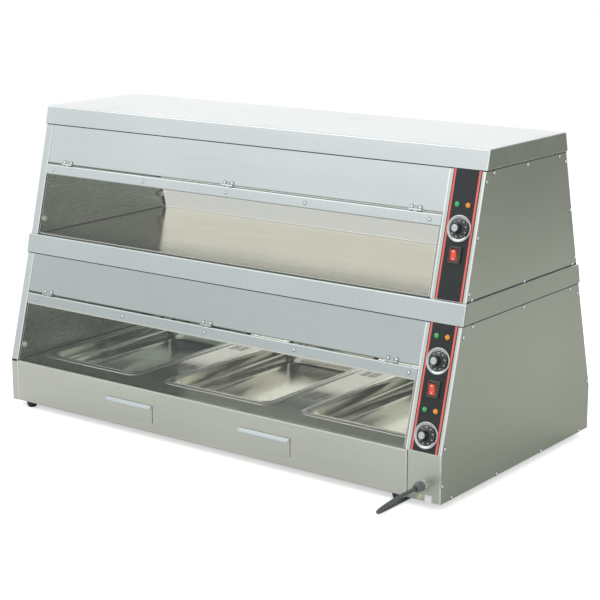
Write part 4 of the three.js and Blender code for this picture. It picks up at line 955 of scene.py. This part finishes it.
for name, slope, s in SWITCHES:
    body = f"{name}_rocker"
    seat = slope.place(OVERLAY_X, s, CONTROLS_T + 5) @ Matrix.Rotation(ROCKER_REST, 4, "X")
    ys = [ROCKER_HALF * (1 - i / 8) for i in range(17)]
    outline = [(-ROCKER_HALF, 1.5), (-3, -1), (3, -1), (ROCKER_HALF, 1.5)] + [(y, hollow(y)) for y in ys]
    bm = bmesh.new()
    add_prism(bm, outline, -10.2, 10.2, ACROSS)
    bevelled(piece(f"{name}_rocker_cap", bm, seat, ROCKER, body, (body,), 30), 0.9, 3, 40)
    # The clear red window over the rocker's neon follows its curved top
    ys = [WINDOW_HALF * (1 - i / 7) for i in range(15)]
    window = [(y, hollow(y) - 0.4) for y in reversed(ys)]
    window += [(y, hollow(y) + (0.1 if y in (ys[0], ys[-1]) else 0.5)) for y in ys]
    bm = bmesh.new()
    add_prism(bm, window, -6.3, 6.3, ACROSS)
    bevelled(piece(f"{name}_rocker_window", bm, seat, WINDOW, body, crease=30), 0.3, 2, 40)
    bm = bmesh.new()
    add_lathe(bm, [(1.0, -0.1), (2.2, -0.1), (2.2, 0.14), (1.0, 0.14), (1.0, -0.1)], 32, on_window(8.4))
    add_prism(bm, rounded_rectangle(0.8, 2.0, 0.4, 3), -0.1, 0.14, on_window(-8.4))
    piece(f"{name}_rocker_marks", bm, seat, WHITE, body, crease=30)
    # A moulded surround stands on the overlay round the switch
    bm = bmesh.new()
    add_skin(bm, rounded_sections(SWITCH_RINGS, 4, CONTROLS_T), Matrix.Translation((0.3, 1.6, 0)), closed=True)
    piece(f"{name}_switch_surround", bm, slope.place(OVERLAY_X, s, 0), SWITCH, "case", crease=30)

# ---- pans

PAN_HALF_X, PAN_HALF_Y, PAN_DEPTH = 325 / 2, 530 / 2, 65
PAN_SHEET = 0.9
PAN_RIM = 11
# Corner radii, seen from above
RIM_CORNER, WALL_CORNER = 24, 38
# The radius of the fold from wall to floor, and how far the wall leans inwards down to it
FLOOR_FOLD, FOLD_INSET = 6, 6.5
RIM_Z = KNEE_Z + 2.8
# Half width, half length, corner radius and height above the deck of the rings of a pan's surround
SURROUND_RINGS = [
    (163.0, 265.5, 24.5, 0.05), (163.0, 265.5, 24.5, 2.1), (163.8, 266.3, 25.3, 2.4), (172.0, 274.0, 29, 2.0),
    (174.4, 276.4, 31.2, 1.6), (175.7, 277.7, 32.3, 0.8), (176, 278, 32.4, 0.05),
]


def quarter(steps, first=0):
    """The angles of a quarter turn, in even steps."""
    return [QUARTER * i / steps for i in range(first, steps + 1)]


def pan_rings():
    """A drawn pan with a rolled rim, a shoulder halfway down and a floor that rises a little at its middle."""
    wall_x, wall_y = PAN_HALF_X - PAN_RIM, PAN_HALF_Y - PAN_RIM
    rings = []

    def ring(inwards, drop, corner=WALL_CORNER, skin=0.0):
        corner = max(corner, RIM_CORNER)
        rings.append((wall_x - inwards + skin, wall_y - inwards + skin, corner + skin, RIM_Z - drop))

    def edge(outwards, drop):
        rings.append((PAN_HALF_X - outwards, PAN_HALF_Y - outwards, RIM_CORNER - outwards, RIM_Z - drop))

    # Underneath, from the floor's edge out to the lip
    ring(FOLD_INSET + FLOOR_FOLD, PAN_DEPTH)
    for a in quarter(5, 1):
        sin, cos = math.sin(a), math.cos(a)
        inwards = FOLD_INSET + FLOOR_FOLD * (1 - sin)
        ring(inwards, PAN_DEPTH - FLOOR_FOLD * (1 - cos), WALL_CORNER + FLOOR_FOLD * sin, PAN_SHEET * sin)
    for inwards, drop in ((4.2, 34.6), (1.4, 32.4), (0, 10.5)):
        ring(inwards, drop, skin=PAN_SHEET)
    for a in quarter(4):
        ring(-1.5 * (1 - math.cos(a)), PAN_SHEET + 2.9 - 1.5 * math.sin(a), skin=PAN_SHEET)
    for outwards, drop in ((PAN_SHEET + 0.6, PAN_SHEET), (PAN_SHEET, 1.3), (PAN_SHEET, 2.4), (0.45, 2.6), (0, 2.3)):
        edge(outwards, drop)
    # Over the rolled rim, down the wall and in to the middle of the floor
    for a in quarter(5, 1):
        edge(1.8 * (1 - math.cos(a)), 1.4 - 1.8 * math.sin(a))
    for a in quarter(5):
        roll = PAN_SHEET + 1.5
        ring(-roll * (1 - math.sin(a)), 1.4 + roll * (1 - math.cos(a)))
    for inwards, drop in ((0, 9.6), (1.1, 30.4), (1.6, 31.8), (3.4, 33.4), (4.1, 35.2)):
        ring(inwards, drop)
    floor_drop = PAN_DEPTH - PAN_SHEET
    for a in quarter(6):
        curl = FLOOR_FOLD * (1 - math.cos(a))
        drop = floor_drop - FLOOR_FOLD * (1 - math.sin(a))
        ring(FOLD_INSET + curl, drop, WALL_CORNER + FLOOR_FOLD - curl)
    inset = FOLD_INSET + FLOOR_FOLD
    for share, lift in ((0.12, 0.05), (0.3, 0.25), (0.5, 0.5), (0.75, 0.7)):
        ring(inset + share * (wall_x - inset), floor_drop - lift, WALL_CORNER * (1 - share))
    return rings


for (name, material), x in zip(PANS, PAN_XS):
    bm = bmesh.new()
    skin = add_skin(bm, rounded_sections(pan_rings(), 9))
    bm.faces.new(skin[0][::-1])
    bm.faces.new(skin[-1])
    piece(f"{name}_steel", bm, at(x, 0, 0), material, name, (name,), 60)
    # A pressed frame round the pan stands a little proud of the deck; its paler steel is a painted highlight
    bm = bmesh.new()
    add_skin(bm, rounded_sections(SURROUND_RINGS, 9, KNEE_Z), closed=True)
    piece(f"{name}_surround", bm, at(x, 0, 0), HIGHLIGHT_SURROUND, "case", crease=40)

# ---- bumpers and screws

BUMPER = [(0, 0), (7, 0), (7, 7), *arc((5.6, 7.6), 1.4, 0, 90, 5), (3.4, 9), (3.0, 8.5), (2.8, 6.5), (0, 6.5)]
BUMPER_HEIGHT = 42
for _, face, slope, rear in FACES:
    for end, x, turn in (("left", CAVITY_LEFT + 0.3, QUARTER), ("right", CAVITY_RIGHT - 0.3, -QUARTER)):
        s = slope.length - BUMPER_HEIGHT / math.cos(slope.angle)
        origin = slope.place(x, s, -11.1, rear).translation
        matrix = Matrix.Translation(origin) @ Matrix.Rotation(turn, 4, "Y") @ Matrix.Scale(MM, 4)
        name = f"{face}_{end}_bumper"
        lathe(f"{name}_rubber", BUMPER, matrix, CREAM, "case", (name,), 32, 40)


def screw_mesh():
    """A pan-head screw with a cross recess, its head up along Z, in millimetres."""
    bm = bmesh.new()
    angles = [a * math.pi / 16 for a in range(1, 6)]
    dome = [(3.5 * math.cos(a), 0.3 + 1.5 * math.sin(a)) for a in angles]
    outer = add_lathe(bm, [(0, -0.2), (3.3, -0.2), (3.5, 0.25), *dome, (1.9, 1.68), (1.75, 1.5)], 24)[-1]
    cross = []
    for k in range(4):
        sin, cos = math.sin(k * QUARTER), math.cos(k * QUARTER)
        for x, y in ((0.32, 0.32), (1.5, 0.32), (1.5, -0.32)):
            cross.append((x * cos - y * sin, x * sin + y * cos))
    cross.sort(key=lambda p: math.atan2(p[1], p[0]))
    inner = add_ring(bm, cross, 1.45)
    edges = [bm.edges.get(pair) for pair in looped(outer)] + [bm.edges.new(pair) for pair in looped(inner)]
    bmesh.ops.triangle_fill(bm, edges=edges, use_beauty=True)
    deep = [bm.verts.new((v.co.x * 0.8, v.co.y * 0.8, 0.5)) for v in inner]
    bridge(bm, inner, deep)
    bm.faces.new(deep)
    return mesh_of("screw", bm, IDENTITY)


SCREW = screw_mesh()
SHADOW_RING = [(0, -0.1), (4.7, -0.1), (4.7, 0.06), (4.4, 0.12), (0, 0.12)]


def screws(name, places, body, size):
    """Screw heads, each turned a little further than the one before, and dark rings below them, which are painted
    shadow.
    """
    heads, shadow_seats = bmesh.new(), bmesh.new()
    for k, place in enumerate(places):
        part = SCREW.copy()
        part.transform(place @ Matrix.Rotation(0.7 * k, 4, "Z") @ Matrix.Scale(size, 4))
        heads.from_mesh(part)
        bpy.data.meshes.remove(part)
        add_lathe(shadow_seats, SHADOW_RING, 24, place @ Matrix.Scale(size, 4))
    piece(name, heads, IDENTITY, ZINC, body, crease=40)
    piece(f"{name}_shadow_rings", shadow_seats, IDENTITY, SHADE_DARK, body, crease=40)


# Places in Y and Z on the rear half of an end, mirrored to its front half and to the other end
END_SCREWS = [
    (0, 732), (149, 732), (180, 716), (212, 596), (244, 475.5), (0, 461), (232, 461),
    (0, 399.5), (225.2, 399), (264.4, 382), (332, 143.5), (340.8, 59.5), (300, 21.8), (104, 21.8),
]
for name, x in (("right_end_screws", END_X), ("left_end_screws", -END_X)):
    mirrored = [(side * y, z) for y, z in END_SCREWS for side in ((-1, 1) if y else (1,))]
    screws(name, [at(x, y, z, math.copysign(QUARTER, x), "Y") for y, z in mirrored], "case", 1.12)

STRIP_SCREWS = {"upper": (-626, -309, -37, 204, 551), "lower": (-616, -307, -36, 238, 560)}
# How far down a flap's face the strip's and the hinges' screws lie, and where a hinge leaf starts and ends
STRIP_SCREW, HINGE_SCREW, LEAF_TOP, LEAF_END = 121, 97.2, 93.6, 103.9
LEAF_HALF, SCREW_ASIDE = 17, 11.4
for tier, face, slope, rear in FACES:
    along = [CAVITY_LEFT + CAVITY_RIGHT - x if rear else x for x in STRIP_SCREWS[tier]]
    screws(f"{face}_strip_screws", [slope.place(x, STRIP_SCREW, 2, rear) for x in along], f"{face}_flap", 1.0)
    along = [x + aside for x in HINGE_XS for aside in (-SCREW_ASIDE, SCREW_ASIDE)]
    screws(f"{face}_hinge_screws", [slope.place(x, HINGE_SCREW, 1.2, rear) for x in along], "case", 1.05)
    leaves = [(slope, x - LEAF_HALF, x + LEAF_HALF, LEAF_TOP, LEAF_END, 0.2, 1.2, rear) for x in HINGE_XS]
    trim(f"{face}_hinge_leaves", LEAF, "case", leaves, bevel=0.35)

# ---- folded edges with painted highlights, and strips of painted shade at the rims, joints and flaps

# Where a flap's clear panel starts below its strip, and how far down the strip goes
PANEL_TOP = 131.8
STRIP_TOP, STRIP_END = 104.5, 131.7
for tier, face, slope, rear in FACES:
    # The posts' sheet is folded back on itself along the opening; a pale strip on the fold is a painted highlight
    posts = ((CAVITY_LEFT - 4.2, CAVITY_LEFT - 0.4), (CAVITY_RIGHT - 1.7, CAVITY_RIGHT + 2.8))
    hems = [(slope, x0, x1, 3.2, slope.length - 0.6, 0.02, 0.7, rear) for x0, x1 in posts]
    trim(f"{face}_post_hems", HIGHLIGHT_HEM, "case", hems, bevel=0.3, segments=3)
    # A dark strip under the rim along each face: painted shade
    trim(f"{face}_rim_shade_strip", SHADE_STRIP, "case", [(slope, -675, 675, 0, 2.9, 0.02, 0.5, rear)], bevel=0.2)
    # Strips along the panel's ends, black at the left and grey at the right: painted shade in the gaps beside it.
    # Then the bright arris of its ground edges
    left, right, high = CAVITY_LEFT + 2.4, CAVITY_RIGHT - 2.4, slope.length - 3.1
    flap = f"{face}_flap"
    left_gap_shade = (slope, CAVITY_LEFT + 0.5, CAVITY_LEFT + 4.6, PANEL_TOP, high, 0.22, 0.5, rear)
    trim(f"{face}_panel_gap_shades", BLACK_GAP_SHADE, flap, [left_gap_shade])
    beads = [(slope, CAVITY_RIGHT - 4.6, CAVITY_RIGHT - 2.2, PANEL_TOP, high, 0.22, 0.5, rear)]
    # On the upper tier, grey strips under the strip and in the gap above it: painted shadow
    if tier == "upper":
        beads.append((slope, left, right, STRIP_END, STRIP_END + 1.9, 0.22, 0.6, rear))
        beads.append((slope, left, right, STRIP_TOP, STRIP_TOP + 2, -1.6, -0.2, rear))
    trim(f"{face}_panel_beads", GREY_SHADE, flap, beads)
    if tier == "lower":
        lip = (slope, left, right, STRIP_END, STRIP_END + 3.9, 0.22, 0.6, rear)
        trim(f"{face}_strip_lip", ARRIS, flap, [lip], bevel=0.15)
    edges = [
        (slope, CAVITY_LEFT + 4.6, CAVITY_LEFT + 5.8, PANEL_TOP, high, 0.22, 0.55, rear),
        (slope, CAVITY_RIGHT - 6.6, CAVITY_RIGHT - 4.6, PANEL_TOP, high, 0.22, 0.6, rear),
    ]
    if face == "upper_front":
        edges.append((slope, CAVITY_LEFT + 4.6, CAVITY_RIGHT - 4.6, high - 1.5, high, 0.22, 0.6))
    trim(f"{face}_panel_arris", ARRIS, flap, edges, bevel=0.12)
for side, rear in SIDES:
    # A grey strip along each upper sill, inside the panel: painted shade
    sill = UPPER.length - (1.9 if rear else 5.4)
    bar = (UPPER, CAVITY_LEFT + 1, CAVITY_RIGHT - 1, sill, UPPER.length - 0.3, -6.2, -4.2, rear)
    trim(f"upper_{side}_sill_shade", GREY_SHADE, "case", [bar], bevel=0.4)
    # Pale strips on the base's posts: painted highlight
    posts = ((CAVITY_LEFT - 4.2, CAVITY_LEFT - 0.6), (CAVITY_RIGHT - 0.8, CAVITY_RIGHT + 2.6))
    hems = [(BASE_FACE, x0, x1, 1, BASE_FACE.length - 1, 0.02, 0.7, rear) for x0, x1 in posts]
    trim(f"base_{side}_hems", HIGHLIGHT_HEM, "case", hems, bevel=0.3, segments=3)
    # A dark strip along the joint of base and column: painted shade
    joint = (BASE_FACE, CAVITY_RIGHT + 2.8, CAVITY_RIGHT + 4.4, 1, BASE_FACE.length - 1, 0.02, 0.3, rear)
    trim(f"base_{side}_joint", SHADE_STRIP, "case", [joint])

# Dark strips under the rims' ends, on the outer faces of the walls and the end panels: painted shade
boxes = []
for x0, x1 in ((-END_X - 0.4, -END_X), (END_X, END_X + 0.4)):
    boxes.append(((x0, -181, UPPER_TOP - 3.4), (x1, 181, UPPER_TOP)))
    boxes.append(((x0, -268.5, LOWER_TOP - 3.4), (x1, 268.5, LOWER_TOP)))
    boxes.append(((x0, -253.5, SHELF_TOP), (x1, 253.5, SHELF_TOP + 3.6)))
trim("end_shade_strips", SHADE_STRIP, "case", boxes=boxes, bevel=0.15)

# The bright corners of the two rims' fronts: pale strips that are a painted highlight
bars = []
for rim in (Slope(345.5, 783.9, 366.1, UPPER_TOP), Slope(521.3, 452.9, 541.1, LOWER_TOP)):
    bars += [(rim, END_X + 0.6, END_X + 2.9, 0.3, rim.length - 0.3, -0.2, 0.32, rear) for rear in (False, True)]
trim("rim_corners", HIGHLIGHT_HEM, "case", bars, bevel=0.2)

# Dark beads where the lining's walls meet the two floors: painted shade in the creases
boxes = []
for x0, x1 in ((CAVITY_LEFT, CAVITY_LEFT + 2.4), (CAVITY_RIGHT - 2.4, CAVITY_RIGHT)):
    boxes += [((x0, -half_y, z), (x1, half_y, z + 1.8)) for half_y, z in ((240, SHELF_TOP), (326, KNEE_Z))]
trim("floor_crease_shades", SHADE_STRIP, "case", boxes=boxes, bevel=0.5)

# Dark plates under the steam slots, painted shade for the space below them, and the pressed edge behind each slot,
# in a paler steel that is a painted highlight
SLOT_GROUPS = [(x, y) for x in BETWEEN_PANS for y in (-139, 106)]
SLOT_PITCH, SLOT_HALF = 10.5, 10.4
shades = [((x - 26, y - 32, KNEE_Z - 2.2), (x + 26, y + 32, KNEE_Z - 1.7)) for x, y in SLOT_GROUPS]
trim("slot_shades", SHADE_DARK, "case", boxes=shades, bevel=0.1)
boxes = []
for x, y in SLOT_GROUPS:
    for row in range(6):
        far = y + (row - 2.5) * SLOT_PITCH + 1.8
        for middle in (x - 13, x + 13):
            boxes.append(((middle - SLOT_HALF, far, KNEE_Z - 0.1), (middle + SLOT_HALF, far + 1.1, KNEE_Z + 0.5)))
trim("slot_lips", HIGHLIGHT_SURROUND, "case", boxes=boxes, bevel=0.2)

# Returned edges round the drawer fronts, and the bright edges beside their right-hand gaps: pale strips that are a
# painted highlight
DRAWER_LOW, DRAWER_HIGH = FOOT_TOP + 27.5, FOOT_TOP + 70.5
for name, x in zip(("left_drawer", "right_drawer"), BETWEEN_PANS):
    returns = ((x - 76.2, FRONT_Y - 0.3, DRAWER_LOW - 1.25), (x + 75.2, FRONT_Y + 0.3, DRAWER_HIGH + 0.8))
    trim(f"{name}_returns", DRAWER, name, boxes=[returns])
    edge = ((x + 73.7, FRONT_Y - 1.3, DRAWER_LOW + 0.2), (x + 74.95, FRONT_Y - 0.9, DRAWER_HIGH - 8))
    trim(f"{name}_edge", HIGHLIGHT_HEM, name, boxes=[edge], bevel=0.15)
    opening = ((x + 76.9, FRONT_Y - 0.25, DRAWER_LOW - 1), (x + 78.1, FRONT_Y + 0.1, DRAWER_HIGH))
    trim(f"{name}_opening_edge", HIGHLIGHT_HEM, "case", boxes=[opening], bevel=0.12)

# The bright folded corners between the fronts of the tiers and base and their ends, pale strips that are a painted
# highlight, wider on the right
bars = []
for slope, start in ((UPPER, 3.2), (LOWER, 3.2), (BASE_FACE, 0.4)):
    for rear in (False, True):
        for x0, x1 in ((-675.9, -673.3), (671.4, 675.9)):
            bars.append((slope, x0, x1, start, slope.length - 0.4, -0.6, 0.45, rear))
trim("corner_folds", HIGHLIGHT_HEM, "case", bars, bevel=0.42, segments=3)

# ---- floor, lights and surroundings


def direct_view(g):
    """One for what the camera sees itself or through glass, and zero for mirrored and diffuse light."""
    light = g.node("ShaderNodeLightPath").outputs
    through = g.times(light["Is Transmission Ray"], g.under(light["Glossy Depth"], 0.5))
    return g.sums("MAXIMUM", light["Is Camera Ray"], through)


def floor():
    """A pale floor that fades out past the object. What looks straight at it, or through glass, sees it white."""
    g = new_graph("floor")
    ground = g.blend(g.spread(g.noise(g.place(), 0.8, 2), 0, 1), (0.69, 0.69, 0.645), (0.73, 0.73, 0.685))
    glow = g.times(g.node("ShaderNodeLightPath").outputs["Is Camera Ray"], 0.50)
    g.set(Base_Color=g.blend(direct_view(g), ground, (1, 1, 1)), Roughness=0.95, Specular_IOR_Level=0.0)
    g.set(Emission_Color=(1, 1, 1), Emission_Strength=glow)
    away = g.node("ShaderNodeVectorMath", {"operation": "LENGTH"}, i0=g.place()).outputs["Value"]
    mesh = bpy.data.meshes.new("floor")
    mesh.from_pydata([(-5, -5, 0), (5, -5, 0), (5, 5, 0), (-5, 5, 0)], [], [(0, 1, 2, 3)])
    mesh.materials.append(g.partly(g.step(away, 2.6, 4.6), g.node("ShaderNodeBsdfTransparent")))
    made = bpy.data.objects.new("floor", mesh)
    bpy.context.scene.collection.objects.link(made)


def surroundings():
    """White where it is looked at. Reflections see a studio, bright to the left and dimmer behind on the right."""
    world = bpy.data.worlds.new("studio")
    bpy.context.scene.world = world
    world.use_nodes = True
    world.node_tree.nodes.clear()
    g = Graph(world)
    direction = g.coordinates.outputs["Generated"]
    height = g.axes(direction)[2]
    left = g.blend(g.step(height, -0.05, 0.34), (0.70, 0.725, 0.73), (0.93, 0.95, 0.955))
    right = g.blend(g.step(height, -0.25, 0.5), (0.26, 0.275, 0.24), (0.78, 0.79, 0.78))
    around = g.blend(g.step(g.along(direction, (0.78, 0.62, 0.0)), 0.30, 0.88), left, right)
    rear_left = g.step(g.along(direction, (-0.60, 0.80, 0.0)), 0.35, 0.9)
    lit = g.blend(rear_left, around, (0.98, 0.985, 0.975))
    seen = direct_view(g)
    strength = g.sums("MULTIPLY_ADD", g.times(rear_left, g.without(seen)), 0.42, 1)
    background = g.node("ShaderNodeBackground", Color=g.blend(seen, lit, (1, 1, 1)), Strength=strength)
    output = g.node("ShaderNodeOutputWorld")
    g.tree.links.new(background.outputs[0], output.inputs["Surface"])


def softbox(name, place, width, height, radiance):
    """A rectangular light that looks at the middle of the case."""
    data = bpy.data.lights.new(name, "AREA")
    data.shape = "RECTANGLE"
    data.size = width
    data.size_y = height
    data.energy = radiance * math.pi * width * height
    made = bpy.data.objects.new(name, data)
    made.location = place
    made.rotation_euler = (Vector((0, 0, 0.35)) - Vector(place)).to_track_quat("-Z", "Y").to_euler()
    made.visible_camera = False
    bpy.context.scene.collection.objects.link(made)


floor()
surroundings()
softbox("key", (-3.2, -3.8, 4.6), 4.0, 4.0, 0.9)
